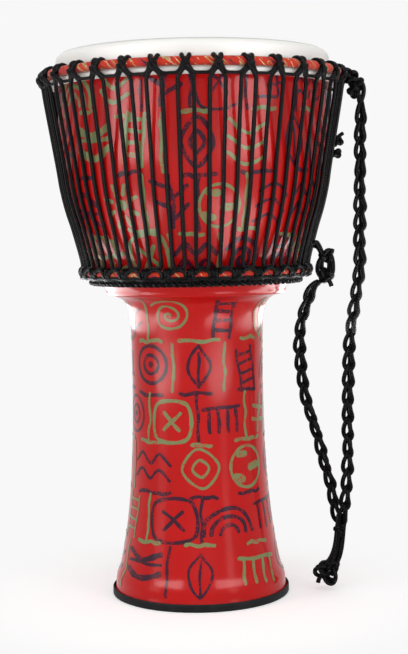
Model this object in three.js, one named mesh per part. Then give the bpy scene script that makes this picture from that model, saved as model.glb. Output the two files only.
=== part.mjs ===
// Travel djembe, rope tuned: moulded shell, synthetic head, two wrapped rings and their lacing.
// Millimetres. +Z is up, the origin is the middle of the foot on the floor and -Y is the front.
import * as THREE from 'three';

// Driving dimensions of the drum
const drumHeight = 600;
const shellTopRadius = 149.5;
const bowlStraightBottom = 495;
const lipRadius = 101;
const lipHeight = 340;
const neckRadius = 73.5;
const neckHeight = 290;
const footRadius = 97;
const wall = 4.5;
const rimCurlRadius = 8.2;
const rimLedge = 6;
const headThickness = 1;
const pieceGap = 0.3;
const roundSegments = 40;

// Rubber foot ring
const footRingHeight = 8.5;
const footRingFloor = 3.2;
const footRingWall = 1.3;

// Flesh hoop, which the head's edge is folded round
const hoopWire = 3.5;
const hoopDrop = 33.5;
const collarClearance = 1;
const headCorner = 9;
const foldAngle = 60;
const foldSteps = 4;

// Wrapped rings and the rope
const ringCount = 32;
const ringTurn = -2.4;
const crownRingStandoff = 12.5;
const crownRingDrop = 25.6;
const crownWire = 3.5;
const bottomRingRise = 19;
const bottomRingStandoff = 11.7;
const bottomWire = 2.5;
const clothThickness = 1.2;
const seamHalfAngle = 12;
const ringSides = 6;
const ropeRadius = 1.9;
const ropeGap = 0.45;
const ropeSides = 5;

// Angle between two points of a rope that turns round a ring
const crownWrapStep = 60;
const bottomWrapStep = 72;

// Lacing, measured along the ring from the middle of a hitch
const bumpSpread = 4.1;
const legSpread = 7.2;
const legDrop = 17;
const legAngle = -76;
const strandSpread = 4.8;
const scallopHalf = 7.5;
const scallopAngle = 78;
const bowlSteps = 5;

// Braided rope tail round the base
const braidRadius = 3.7;
const braidInset = 5.5;
const braidGap = 0.5;
const braidSides = 6;

// Strap, and the half hitches that tie its rope off
const chainRadius = 6;
const tailRadius = 5;
const cordSides = 8;
const strapRopeRadius = 1.9;
const hitchTurns = 2.3;
const hitchShare = 0.75;
const turnSteps = 7;

const colours = {
  shell: '#c81e1c',
  rubber: '#151517',
  film: '#eeece6',
  steel: '#8f9296',
  cloth: '#c8401f',
  rope: '#121214',
};

function material(colour, roughness, metalness = 0) {
  return new THREE.MeshStandardMaterial({ color: colour, roughness, metalness });
}

const materials = {
  shell: material(colours.shell, 0.3),
  rubber: material(colours.rubber, 0.8),
  film: material(colours.film, 0.45),
  steel: material(colours.steel, 0.35, 1),
  cloth: material(colours.cloth, 0.9),
  rope: material(colours.rope, 0.75),
};

const drum = new THREE.Group();

function addPiece(name, geometry, finish) {
  const mesh = new THREE.Mesh(geometry, finish);
  mesh.name = name;
  drum.add(mesh);
}

function radians(degrees) {
  return THREE.MathUtils.degToRad(degrees);
}

// A closed outline of [radius, height] points turned about the drum's axis
function revolve(outline, segments, turnDegrees = 0) {
  const profile = outline.map(([radius, height]) => new THREE.Vector2(radius, height));
  const onAxis = profile[0].x === 0 && profile[profile.length - 1].x === 0;
  if (!onAxis) profile.push(profile[0].clone());
  const geometry = new THREE.LatheGeometry(profile, segments);
  geometry.rotateX(Math.PI / 2);
  geometry.rotateZ(radians(turnDegrees));
  return geometry;
}

function arc(centreRadius, centreHeight, size, fromDegrees, toDegrees, steps) {
  return Array.from({ length: steps + 1 }, (_, i) => {
    const angle = radians(fromDegrees + ((toDegrees - fromDegrees) * i) / steps);
    return [centreRadius + size * Math.cos(angle), centreHeight + size * Math.sin(angle)];
  });
}

// A curve through [radius, height] control points
function bezier(start, handleA, handleB, end) {
  const corners = [start, handleA, handleB, end].map(([x, y]) => new THREE.Vector2(x, y));
  return new THREE.CubicBezierCurve(...corners);
}

// Moves a run of [radius, height] points sideways, square to the run
function offsetRun(points, distance) {
  return points.map(([radius, height], i) => {
    const before = points[Math.max(i - 1, 0)];
    const after = points[Math.min(i + 1, points.length - 1)];
    const along = new THREE.Vector2(after[0] - before[0], after[1] - before[1]).normalize();
    return [radius - along.y * distance, height + along.x * distance];
  });
}

// Shell: foot flare, stem, lip and bowl from the floor upwards
const shellBottom = footRingFloor + pieceGap;
const shellTop = drumHeight - headThickness - pieceGap;
const stemCurve = bezier(
  [footRadius, shellBottom],
  [footRadius - 24, shellBottom + 80],
  [neckRadius - 2, neckHeight - 100],
  [neckRadius, neckHeight],
);
const underCurve = bezier(
  [neckRadius, neckHeight],
  [neckRadius, neckHeight + 28],
  [lipRadius - 21, lipHeight - 9],
  [lipRadius - 4, lipHeight - 6.5],
);
const bowlCurve = bezier(
  [lipRadius, lipHeight],
  [lipRadius + 31.8, lipHeight + 50],
  [shellTopRadius, bowlStraightBottom - 45],
  [shellTopRadius, bowlStraightBottom],
);
const asPairs = (curve, steps) => curve.getPoints(steps).map((p) => [p.x, p.y]);
const bowlPoints = asPairs(bowlCurve, bowlSteps);
const rimCentre = [shellTopRadius - rimCurlRadius, shellTop - rimCurlRadius];
const insideStem = offsetRun(asPairs(stemCurve, 3), wall);
insideStem[0] = [footRadius - wall - pieceGap, shellBottom];

// Radius of a rising run of points at a height
function radiusAt(run, height) {
  const above = run.findIndex(([, h]) => h > height);
  const [lowRadius, lowHeight] = run[above - 1];
  const [highRadius, highHeight] = run[above];
  return lowRadius + ((highRadius - lowRadius) * (height - lowHeight)) / (highHeight - lowHeight);
}

// The bottom ring stands off the bowl, a little above the lip
const bottomRingHeight = lipHeight + bottomRingRise;
const bottomRingRadius = radiusAt(bowlPoints, bottomRingHeight) + bottomRingStandoff;

function makeShell() {
  const lowerOutside = [...asPairs(stemCurve, 5), ...asPairs(underCurve, 4).slice(1)];
  const outside = [...lowerOutside, ...bowlPoints, ...arc(...rimCentre, rimCurlRadius, 0, 90, 2)];
  const ledgeRadius = rimCentre[0] - rimLedge;
  const ledge = [[ledgeRadius, shellTop], [ledgeRadius, shellTop - wall]];
  const insideUnder = offsetRun(asPairs(underCurve, 3), wall).slice(1, 3);
  const insideBowl = offsetRun(asPairs(bowlCurve, 3), wall).slice(1);
  const insideRim = arc(...rimCentre, rimCurlRadius - wall, 0, 90, 1);
  const inside = [...insideStem, ...insideUnder, ...insideBowl, ...insideRim];
  const outline = [...outside, ...ledge, ...inside.reverse()];
  addPiece('shell', revolve(outline, roundSegments), materials.shell);
}

// Rubber channel pushed over the shell's lower edge
function makeFootRing() {
  const outer = footRadius + pieceGap + footRingWall;
  const groove = footRadius + pieceGap;
  const innerGroove = radiusAt(insideStem, footRingHeight) - pieceGap;
  const outline = [
    [innerGroove - footRingWall, 0],
    [outer, 0],
    [outer, footRingHeight - 1],
    [outer - 0.8, footRingHeight],
    [groove, footRingHeight],
    [groove, footRingFloor],
    [innerGroove, footRingFloor],
    [innerGroove, footRingHeight],
    [innerGroove - footRingWall, footRingHeight],
  ];
  addPiece('foot_ring', revolve(outline, roundSegments), materials.rubber);
}

// Head: flat film, rounded corner, collar and the edge folded round the flesh hoop
const collarRadius = shellTopRadius + collarClearance + headThickness;
const foldInner = hoopWire + pieceGap;
const hoopRadius = collarRadius + foldInner;
const hoopHeight = drumHeight - hoopDrop;

function makeHead() {
  const corner = [collarRadius - headCorner, drumHeight - headCorner];
  const foldEnd = 180 + foldAngle * foldSteps;
  const outside = [
    [0, drumHeight],
    ...arc(...corner, headCorner, 90, 0, 3),
    ...arc(hoopRadius, hoopHeight, foldInner, 180, foldEnd, foldSteps),
  ];
  const inside = [
    ...arc(hoopRadius, hoopHeight, foldInner + headThickness, foldEnd, 180, foldSteps),
    ...arc(...corner, headCorner - headThickness, 0, 90, 3),
    [0, drumHeight - headThickness],
  ];
  const outline = [...inside.reverse(), ...outside.reverse()];
  addPiece('drum_head', revolve(outline, roundSegments), materials.film);
}

function makeFleshHoop() {
  const section = arc(hoopRadius, hoopHeight, hoopWire, 0, 300, 5);
  addPiece('flesh_hoop', revolve(section, roundSegments), materials.steel);
}

// Ring of round bar inside a cloth sleeve whose seam stays open towards the shell
function ringOf(radius, height, wire, seamAngle) {
  const step = 360 / ringSides;
  const clothInner = wire + pieceGap;
  const clothOuter = clothInner + clothThickness;
  const bar = arc(radius, height, wire, seamAngle, seamAngle + 360 - step, ringSides - 1);
  const flat = Math.cos(radians(step / 2));
  const edge = (size, side) => {
    const reach = (size * flat) / Math.cos(radians(step / 2 - seamHalfAngle));
    const angle = radians(seamAngle + side * seamHalfAngle);
    return [radius + reach * Math.cos(angle), height + reach * Math.sin(angle)];
  };
  const around = (size) => {
    return arc(radius, height, size, seamAngle + step, seamAngle + 360 - step, ringSides - 2);
  };
  const outer = [edge(clothOuter, 1), ...around(clothOuter), edge(clothOuter, -1)];
  const inner = [edge(clothInner, 1), ...around(clothInner), edge(clothInner, -1)];
  return { radius, height, clothOuter, bar, sleeve: [...outer, ...inner.reverse()] };
}

const crownRing = ringOf(shellTopRadius + crownRingStandoff, drumHeight - crownRingDrop, crownWire, 240);
const bottomRing = ringOf(bottomRingRadius, bottomRingHeight, bottomWire, 180);

function makeRings() {
  addPiece('crown_ring', revolve(crownRing.bar, ringCount, ringTurn), materials.steel);
  addPiece('crown_ring_sleeve', revolve(crownRing.sleeve, ringCount, ringTurn), materials.cloth);
  addPiece('bottom_ring', revolve(bottomRing.bar, ringCount, ringTurn), materials.steel);
  addPiece('bottom_ring_sleeve', revolve(bottomRing.sleeve, ringCount, ringTurn), materials.cloth);
}

// Places a point by its angle round the drum, its radius and its height
function atAngle(degrees, radius, height) {
  const angle = radians(degrees);
  return new THREE.Vector3(radius * Math.sin(angle), -radius * Math.cos(angle), height);
}

// Places a point beside a ring: along it from a station, then by its distance and angle from the bar
function besideRing(ring, station, along, distance, angle) {
  const degrees = station + THREE.MathUtils.radToDeg(along / ring.radius);
  const out = distance * Math.cos(radians(angle));
  const up = distance * Math.sin(radians(angle));
  return atAngle(degrees, ring.radius + out, ring.height + up);
}

// One closed tube along a list of points, without twist where its ends meet
function ropeGeometry(points, radius, sides, closed) {
  const count = points.length;
  const tangents = points.map((point, i) => {
    const before = points[closed ? (i + count - 1) % count : Math.max(i - 1, 0)];
    const after = points[closed ? (i + 1) % count : Math.min(i + 1, count - 1)];
    const arriving = point.clone().sub(before).normalize();
    const leaving = after.clone().sub(point).normalize();
    return arriving.add(leaving).normalize();
  });
  const carry = (vector, from, to) => {
    const swing = new THREE.Quaternion().setFromUnitVectors(from, to);
    return vector.clone().applyQuaternion(swing);
  };
  const guide = Math.abs(tangents[0].z) < 0.9 ? new THREE.Vector3(0, 0, 1) : new THREE.Vector3(1, 0, 0);
  const normals = [guide.cross(tangents[0]).normalize()];
  for (let i = 1; i < count; i += 1) {
    normals.push(carry(normals[i - 1], tangents[i - 1], tangents[i]));
  }
  let untwist = 0;
  if (closed) {
    const back = carry(normals[count - 1], tangents[count - 1], tangents[0]);
    const across = tangents[0].clone().cross(back);
    untwist = Math.atan2(normals[0].dot(across), normals[0].dot(back));
  }
  const positions = [];
  points.forEach((point, i) => {
    const across = tangents[i].clone().cross(normals[i]);
    for (let k = 0; k < sides; k += 1) {
      const angle = (2 * Math.PI * k) / sides + (untwist * i) / count;
      const corner = point.clone();
      corner.addScaledVector(normals[i], radius * Math.cos(angle));
      corner.addScaledVector(across, radius * Math.sin(angle));
      positions.push(corner.x, corner.y, corner.z);
    }
  });
  const faces = [];
  const runs = closed ? count : count - 1;
  for (let i = 0; i < runs; i += 1) {
    const here = i * sides;
    const next = ((i + 1) % count) * sides;
    for (let k = 0; k < sides; k += 1) {
      const side = (k + 1) % sides;
      faces.push(here + k, here + side, next + side, here + k, next + side, next + k);
    }
  }
  if (!closed) {
    const last = (count - 1) * sides;
    for (let k = 1; k < sides - 1; k += 1) {
      faces.push(0, k + 1, k, last, last + k, last + k + 1);
    }
  }
  const geometry = new THREE.BufferGeometry();
  geometry.setAttribute('position', new THREE.Float32BufferAttribute(positions, 3));
  geometry.setIndex(faces);
  return geometry;
}

// Least gap between two stretches of one closed rope that lie over three diameters apart along it
function leastSelfGap(route, radius) {
  const samples = [];
  let length = 0;
  route.forEach((point, i) => {
    const next = route[(i + 1) % route.length];
    const span = point.distanceTo(next);
    const steps = Math.ceil(span);
    for (let k = 0; k < steps; k += 1) {
      samples.push({ at: length + (span * k) / steps, place: point.clone().lerp(next, k / steps) });
    }
    length += span;
  });
  let least = Infinity;
  samples.forEach((one, i) => {
    for (let k = i + 1; k < samples.length; k += 1) {
      const apart = samples[k].at - one.at;
      if (Math.min(apart, length - apart) > 6 * radius) {
        least = Math.min(least, one.place.distanceToSquared(samples[k].place));
      }
    }
  });
  return Math.sqrt(least) - 2 * radius;
}

// Distance of a rope's middle from a ring's bar, in the first, second and third layer.
// Its straight runs between two points of a turn clear the cloth.
function layer(ring, number, step) {
  const touching = (ring.clothOuter + ropeGap + ropeRadius) / Math.cos(radians(step / 2));
  return touching + (number - 1) * (2 * ropeRadius + ropeGap);
}

const stationStep = 360 / ringCount;
const crownStations = Array.from({ length: ringCount }, (_, k) => ringTurn + k * stationStep);
const bottomStations = crownStations.map((station) => station + stationStep / 2);
const crownLayers = [1, 2, 3].map((number) => layer(crownRing, number, crownWrapStep));
const bottomLayers = [1, 2].map((number) => layer(bottomRing, number, bottomWrapStep));

// Crown loops: per hitch two turns over the ring, joined behind it and crossing below its front.
// A route's points are [along the ring, distance from its bar, angle from straight outwards].
function crownHitch(station) {
  const [one, two, three] = crownLayers;
  const turn = [0, 1, 2, 3].map((k) => [bumpSpread, one, 5 + crownWrapStep * k]);
  const back = turn.map(([along, distance, angle]) => [-along, distance, angle]).reverse();
  back[3][1] = one + 0.9;
  const route = [
    [-10.6, two - 0.3, -77],
    ...turn,
    ...back,
    [-1.6, two + 1.5, -40],
    [1.6, three + 0.9, -54],
    [8.4, three + 1.6, -62],
  ];
  return route.map((place) => besideRing(crownRing, station, ...place));
}

// Bottom loops: one running turn round the ring per station, and a scallop standing over it
function bottomHitch(station) {
  const [one, two] = bottomLayers;
  const turn = [1, 2, 3, 4].map((k) => [9.4 + 1.1 * k, one, scallopAngle - bottomWrapStep * k]);
  const route = [[-scallopHalf, two, scallopAngle], [scallopHalf, two, scallopAngle], ...turn];
  return route.map((place) => besideRing(bottomRing, station, ...place));
}

// Points where a strand lies on the bowl, highest first
const strandRests = offsetRun(bowlPoints, -(ropeRadius + ropeGap)).slice(1, -1).reverse();

// Vertical lacing: each upper bight is nipped in a crown hitch, each lower one hooks under a scallop
function lacingRun(crownStation, bottomStation) {
  const two = crownLayers[1];
  const overRope = bottomLayers[1];
  const rise = (along, distance, angle) => besideRing(crownRing, crownStation, along, distance, angle);
  const hook = (along, distance, angle) => besideRing(bottomRing, bottomStation, along, distance, angle);
  const rest = (side, index, share) => {
    const top = crownStation + side * THREE.MathUtils.radToDeg(legSpread / crownRing.radius);
    const target = side > 0 ? bottomStation : bottomStation - stationStep;
    const foot = target - side * THREE.MathUtils.radToDeg(strandSpread / bottomRing.radius);
    return atAngle(top + (foot - top) * share, ...strandRests[index]);
  };
  return [
    rest(-1, 2, 0.8),
    rest(-1, 1, 0.6),
    rest(-1, 0, 0.4),
    rise(-legSpread, legDrop, legAngle),
    rise(-2.4, two + 0.6, -60),
    rise(2.4, two + 0.6, -60),
    rise(legSpread, legDrop, legAngle),
    rest(1, 0, 0.4),
    rest(1, 1, 0.6),
    hook(-4.2, overRope + 1.8, 56),
    hook(-3, 7.9, 52),
    hook(3, 6.9, 99),
    hook(4.2, overRope + 0.1, 98),
  ];
}

function makeLacing() {
  const ropes = {
    crown_loops: crownStations.flatMap(crownHitch),
    bottom_loops: bottomStations.flatMap(bottomHitch),
    vertical_lacing: crownStations.flatMap((station, k) => lacingRun(station, bottomStations[k])),
  };
  Object.entries(ropes).forEach(([name, route]) => {
    addPiece(name, ropeGeometry(route, ropeRadius, ropeSides, true), materials.rope);
    console.log(`${name}: least gap to itself ${leastSelfGap(route, ropeRadius).toFixed(2)} mm`);
  });
}

// Braided tail of the lacing, laid round the base under the bottom ring's turns
const underTurn = (bottomLayers[0] + ropeRadius) * Math.cos(radians(bottomWrapStep / 2));
const braidReach = underTurn + braidGap + braidRadius;
const braidHeight = bottomRingHeight - Math.sqrt(braidReach ** 2 - braidInset ** 2);

function makeBraid() {
  const route = Array.from({ length: roundSegments }, (_, i) => {
    return atAngle((360 * i) / roundSegments, bottomRingRadius - braidInset, braidHeight);
  });
  addPiece('base_braid', ropeGeometry(route, braidRadius, braidSides, true), materials.rope);
}

// Strap, at the drum's right. Its free stretches hang along these hand-laid points.
const longLegRoute = [
  [184, -26, 541],
  [184, -26, 526],
  [183, -25, 505],
  [183, -24, 477],
  [182, -24, 450],
  [182, -24, 422],
  [181, -23, 389],
  [181, -22, 364],
  [178, -22, 338],
  [174, -22, 313],
  [170, -21, 288],
  [168, -20, 262],
  [167, -20, 237],
  [166, -20, 211],
  [166, -19, 186],
  [166, -18, 160],
  [165, -18, 135],
  [163, -18, 109],
  [160, -17, 88],
  [158, -17, 79],
];
const shortLegRoute = [
  [133, -19, 344],
  [128, -19, 338],
  [124, -18, 326],
  [119, -18, 312],
  [115, -17, 294],
  [114, -16, 276],
  [115, -14, 255],
  [117, -13, 237],
  [120, -12, 217],
  [126, -11, 196],
  [133, -10, 173],
  [138, -8, 152],
  [143, -7, 133],
  [147, -6, 119],
  [150, -5, 100],
  [153, -4, 86],
  [155, -4, 79],
];
const tailRoute = [
  [156.5, -10.5, 77.8],
  [157, -10.5, 70],
  [156, -11, 60],
  [154, -11, 50],
  [151, -11, 40],
  [146, -11, 30],
];

function cordGeometry(route, radius, steps) {
  const section = new THREE.Shape(
    Array.from({ length: cordSides }, (_, k) => {
      const angle = (2 * Math.PI * k) / cordSides;
      return new THREE.Vector2(radius * Math.cos(angle), radius * Math.sin(angle));
    }),
  );
  const settings = { steps, extrudePath: cordCurve(route), bevelEnabled: false };
  return new THREE.ExtrudeGeometry(section, settings);
}

// Turns of a rope round a straight core, from one end of it to the other
function turnsAround(from, to, reach, turns, startDegrees) {
  const along = to.clone().sub(from);
  const side = new THREE.Vector3(0, 0, 1).cross(along).normalize();
  const other = along.clone().normalize().cross(side);
  const steps = Math.round(turns * turnSteps);
  return Array.from({ length: steps + 1 }, (_, i) => {
    const angle = radians(startDegrees + (360 * turns * i) / steps);
    const point = from.clone().addScaledVector(along, i / steps);
    point.addScaledVector(side, reach * Math.cos(angle));
    return point.addScaledVector(other, reach * Math.sin(angle));
  });
}

const cordCurve = (route) => {
  return new THREE.CatmullRomCurve3(route.map(([x, y, z]) => new THREE.Vector3(x, y, z)));
};

// Two points that lead straight away from a strap leg's upper end
function beyondEnd(route) {
  const curve = cordCurve(route);
  const away = curve.getTangent(0).negate();
  return [pieceGap, 4.5].map((distance) => curve.getPoint(0).addScaledVector(away, distance));
}

// Strap rope tied round the crown ring: over it twice, then round its own standing part
const strapStation = crownStations[7] + stationStep / 2;
const hitchReach = (2 * strapRopeRadius + ropeGap) / Math.cos(Math.PI / turnSteps);

// Half hitches from the upper end of a knot's standing part towards the strap leg
function hitchesOn(coreHigh, stemEnd, startDegrees) {
  const coreLow = coreHigh.clone().lerp(stemEnd, hitchShare);
  return turnsAround(coreHigh, coreLow, hitchReach, hitchTurns, startDegrees);
}

function makeTopKnot() {
  const reach = crownLayers[0];
  const half = strapRopeRadius + ropeGap;
  const beside = (along, distance, angle) => besideRing(crownRing, strapStation, along, distance, angle);
  const stem = beyondEnd(longLegRoute);
  const coreHigh = beside(half, 20, -38);
  const angles = [0, 1, 2, 3].map((k) => 5 + crownWrapStep * k);
  const up = angles.map((angle) => beside(half, reach, angle));
  const down = angles.map((angle) => beside(-half, reach, angle)).reverse();
  const route = [...stem, coreHigh, ...up, ...down, ...hitchesOn(coreHigh, stem[1], 150)];
  addPiece('strap_top_knot', ropeGeometry(route, strapRopeRadius, ropeSides, false), materials.rope);
}

// Strap rope tied round one strand just above the bottom ring
function makeBottomKnot() {
  const strandPlace = [-4.5, bottomRingRadius + 10.5, bottomRingHeight + 25];
  const loopStep = 52;
  const reach = (ropeRadius + ropeGap + strapRopeRadius) / Math.cos(radians(loopStep / 2));
  const near = (along, radius, height) => {
    const degrees = bottomStations[7] + THREE.MathUtils.radToDeg(along / bottomRing.radius);
    return atAngle(degrees, radius, height);
  };
  const stem = beyondEnd(shortLegRoute);
  const coreHigh = near(0.5, bottomRingRadius + 18.2, bottomRingHeight + 14);
  const loop = [0, 1, 2, 3, 4, 5].map((k) => {
    const turn = radians(50 + loopStep * k);
    const [along, radius, height] = strandPlace;
    return near(along + reach * Math.sin(turn), radius + reach * Math.cos(turn), height + k);
  });
  const route = [...stem, coreHigh, ...loop, ...hitchesOn(coreHigh, stem[1], 200)];
  addPiece('strap_bottom_knot', ropeGeometry(route, strapRopeRadius, ropeSides, false), materials.rope);
}

// Overhand knot that ends the strap, with its two cut ends
function makeEndKnot() {
  const centre = new THREE.Vector3(141.5, -11, 20.5);
  const size = 3;
  const depth = 2.6;
  const steps = 26;
  const opening = 0.35;
  const lobe = Array.from({ length: steps + 1 }, (_, i) => {
    const t = opening + ((2 * Math.PI - 2 * opening) * i) / steps;
    const x = size * (Math.sin(t) + 2 * Math.sin(2 * t));
    const z = size * (Math.cos(t) - 2 * Math.cos(2 * t));
    return new THREE.Vector3(x, -depth * Math.sin(3 * t), z).add(centre);
  });
  addPiece('strap_end_knot', ropeGeometry(lobe, strapRopeRadius, ropeSides, false), materials.rope);
}

// Half hitches that end the lacing on a strand at the drum's right, with the cut end left hanging
function makeTieOff() {
  const station = crownStations[8];
  const legTop = besideRing(crownRing, station, legSpread, legDrop, legAngle);
  const [restRadius, restHeight] = strandRests[0];
  const legEnd = atAngle(station + 2.9, restRadius, restHeight);
  const upper = legTop.clone().lerp(legEnd, 0.42);
  const lower = legTop.clone().lerp(legEnd, 0.52);
  const coil = turnsAround(lower, upper, hitchReach, 2, -60);
  const outwards = new THREE.Vector3(upper.x, upper.y, 0).normalize();
  const cutEnd = coil[0].clone().addScaledVector(outwards, 4);
  const route = [cutEnd.clone().add(new THREE.Vector3(0, 0, -16)), cutEnd, ...coil];
  addPiece('lacing_tie_off', ropeGeometry(route, ropeRadius, ropeSides, false), materials.rope);
}

function makeStrap() {
  makeTopKnot();
  makeBottomKnot();
  makeEndKnot();
  addPiece('strap_long_leg', cordGeometry(longLegRoute, chainRadius, 19), materials.rope);
  addPiece('strap_short_leg', cordGeometry(shortLegRoute, chainRadius, 14), materials.rope);
  addPiece('strap_tail', cordGeometry(tailRoute, tailRadius, 5), materials.rope);
}

makeShell();
makeFootRing();
makeHead();
makeFleshHoop();
makeRings();
makeLacing();
makeBraid();
makeTieOff();
makeStrap();

export default drum;
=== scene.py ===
import math
import random

import bpy
import numpy as np
from mathutils import Matrix, Vector


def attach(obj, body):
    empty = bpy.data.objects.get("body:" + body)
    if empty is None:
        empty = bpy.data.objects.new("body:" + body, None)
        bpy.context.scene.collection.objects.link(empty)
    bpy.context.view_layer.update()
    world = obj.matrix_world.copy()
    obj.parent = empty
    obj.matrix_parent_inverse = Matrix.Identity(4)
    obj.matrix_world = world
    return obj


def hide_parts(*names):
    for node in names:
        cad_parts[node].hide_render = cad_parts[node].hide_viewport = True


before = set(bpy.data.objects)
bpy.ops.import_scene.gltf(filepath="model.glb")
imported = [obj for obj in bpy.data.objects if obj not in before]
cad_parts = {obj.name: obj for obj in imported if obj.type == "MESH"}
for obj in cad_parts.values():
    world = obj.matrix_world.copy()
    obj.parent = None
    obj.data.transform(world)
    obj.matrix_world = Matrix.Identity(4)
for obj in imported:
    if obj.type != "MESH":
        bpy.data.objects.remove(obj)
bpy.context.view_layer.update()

# Lengths are in millimetres until a mesh is made, and in metres in the studio. +Z is up and -Y is the front
mm = 0.001


def linear(hexColour):
    # sRGB hex to the linear colour that a socket takes
    channels = [int(hexColour[i:i + 2], 16) / 255 for i in (1, 3, 5)]
    return tuple(c / 12.92 if c <= 0.04045 else ((c + 0.055) / 1.055) ** 2.4 for c in channels) + (1.0,)


def addNode(tree, kind, settings=None, links=None):
    # A node with its settings and its incoming links. A socket is named or numbered, and a link comes from a
    # socket or from another node's first output
    node = tree.nodes.new(kind)
    for key, value in (settings or {}).items():
        if isinstance(key, str) and hasattr(node, key):
            setattr(node, key, value)
        else:
            node.inputs[key].default_value = value
    for key, source in (links or {}).items():
        tree.links.new(source.outputs[0] if isinstance(source, bpy.types.Node) else source, node.inputs[key])
    return node


def newMaterial(name, values):
    # A material whose shader has these plain values; what varies over the surface is linked to it later.
    # In a Mix node of colours, sockets 6 and 7 are the two colours and output 2 is their mix
    material = bpy.data.materials.new(name)
    material.use_nodes = True
    tree = material.node_tree
    shader = tree.nodes["Principled BSDF"]
    for key, value in values.items():
        shader.inputs[key].default_value = value
    return material, tree, shader


def scaleOf(width):
    # A noise texture's scale, from the width of one blotch in millimetres
    return 1 / (width * mm)


def addMesh(name, part, material, sharpAngle=40):
    # A piece that rides on the drum, made from [vertices, faces, UVs]
    vertices, faces, uvs = part
    mesh = bpy.data.meshes.new(name)
    mesh.from_pydata((np.asarray(vertices) * mm).tolist(), [], [list(face) for face in faces])
    if uvs:
        layer = mesh.uv_layers.new(name="weave")
        layer.data.foreach_set("uv", np.asarray(uvs, dtype=np.float32).ravel())
    mesh.shade_smooth()
    mesh.set_sharp_from_angle(angle=math.radians(sharpAngle))
    mesh.materials.append(material)
    piece = bpy.data.objects.new(name, mesh)
    bpy.context.scene.collection.objects.link(piece)
    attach(piece, "root")
    return piece


def joinParts(parts):
    # Puts several [vertices, faces, uvs] lists together
    vertices, faces, uvs = [], [], []
    offset = 0
    for partVertices, partFaces, partUvs in parts:
        vertices.append(partVertices)
        faces.extend([[index + offset for index in face] for face in partFaces])
        uvs.extend(partUvs)
        offset += len(partVertices)
    return np.vstack(vertices), faces, uvs


def smoothRoute(points, step, closed=False, most=8):
    # A soft curve through listed points, in steps of about the given length but at most so many from one
    # point to the next
    points = np.asarray(points, dtype=float)
    if closed:
        points = np.vstack([points[-1], points, points[0], points[1]])
    else:
        points = np.vstack([2 * points[0] - points[1], points, 2 * points[-1] - points[-2]])
    route = []
    for p0, p1, p2, p3 in zip(points, points[1:], points[2:], points[3:]):
        knots = [0.0]
        for a, b in ((p0, p1), (p1, p2), (p2, p3)):
            knots.append(knots[-1] + max(np.linalg.norm(b - a), 1e-6) ** 0.5)
        t0, t1, t2, t3 = knots
        count = int(min(max(math.ceil(np.linalg.norm(p2 - p1) / step), 1), most))
        t = (t1 + (t2 - t1) * np.arange(count) / count)[:, None]
        a1 = (t1 - t) / (t1 - t0) * p0 + (t - t0) / (t1 - t0) * p1
        a2 = (t2 - t) / (t2 - t1) * p1 + (t - t1) / (t2 - t1) * p2
        a3 = (t3 - t) / (t3 - t2) * p2 + (t - t2) / (t3 - t2) * p3
        b1 = (t2 - t) / (t2 - t0) * a1 + (t - t0) / (t2 - t0) * a2
        b2 = (t3 - t) / (t3 - t1) * a2 + (t - t1) / (t3 - t1) * a3
        route.append((t2 - t) / (t2 - t1) * b1 + (t - t1) / (t2 - t1) * b2)
    if not closed:
        route.append(points[-2][None, :])
    return np.vstack(route)


def tube(route, radius, sides=8, closed=False, bulge=0.35):
    # A round tube along a route, without twist where its ends meet, with [length, turn] as its UV.
    # The radius is one number or one for each point, and the bulge is that of a cut end in radii
    route = np.asarray(route)
    count = len(route)
    radii = np.broadcast_to(np.asarray(radius, dtype=float), (count,))
    if closed:
        before, after = np.roll(route, 1, axis=0), np.roll(route, -1, axis=0)
    else:
        before, after = np.vstack([route[0], route[:-1]]), np.vstack([route[1:], route[-1]])
    tangents = after - before
    tangents /= np.linalg.norm(tangents, axis=1)[:, None]
    guide = np.array([0.0, 0.0, 1.0]) if abs(tangents[0][2]) < 0.9 else np.array([1.0, 0.0, 0.0])
    normal = np.cross(guide, tangents[0])
    normal /= np.linalg.norm(normal)
    normals = [normal]
    for i in range(1, count + (1 if closed else 0)):
        tangent = tangents[i % count]
        normal = normal - tangent * np.dot(normal, tangent)
        normal /= np.linalg.norm(normal)
        normals.append(normal)
    untwist = 0.0
    if closed:
        across = np.cross(tangents[0], normals[-1])
        untwist = math.atan2(np.dot(normals[0], across), np.dot(normals[0], normals[-1]))
        normals.pop()
    normals = np.array(normals)
    across = np.cross(tangents, normals)
    turns = 2 * math.pi * np.arange(sides) / sides
    angles = turns[None, :] + (untwist * np.arange(count) / count)[:, None]
    rings = route[:, None, :] + radii[:, None, None] * (
        np.cos(angles)[:, :, None] * normals[:, None, :] + np.sin(angles)[:, :, None] * across[:, None, :]
    )
    vertices = rings.reshape(-1, 3)
    steps = np.linalg.norm(np.diff(np.vstack([route, route[:1]]), axis=0), axis=1)
    lengths = np.concatenate([[0], np.cumsum(steps)])
    faces, uvs = [], []
    for i in range(count if closed else count - 1):
        j = (i + 1) % count
        for k in range(sides):
            m = (k + 1) % sides
            faces.append((i * sides + k, i * sides + m, j * sides + m, j * sides + k))
            low, high = k / sides, (k + 1) / sides
            uvs += [(lengths[i], low), (lengths[i], high), (lengths[i + 1], high), (lengths[i + 1], low)]
    if not closed:
        for i, sign in ((0, -1), (count - 1, 1)):
            start = len(vertices)
            cap = route[i] + sign * tangents[i] * radii[i] * bulge
            vertices = np.vstack([vertices, cap])
            for k in range(sides):
                pair = (i * sides + k, i * sides + (k + 1) % sides)
                faces.append((*(pair if sign > 0 else pair[::-1]), start))
                uvs += [(lengths[i], k / sides), (lengths[i], (k + 1) / sides), (lengths[i] + 1, k / sides)]
    return vertices, faces, uvs


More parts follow.
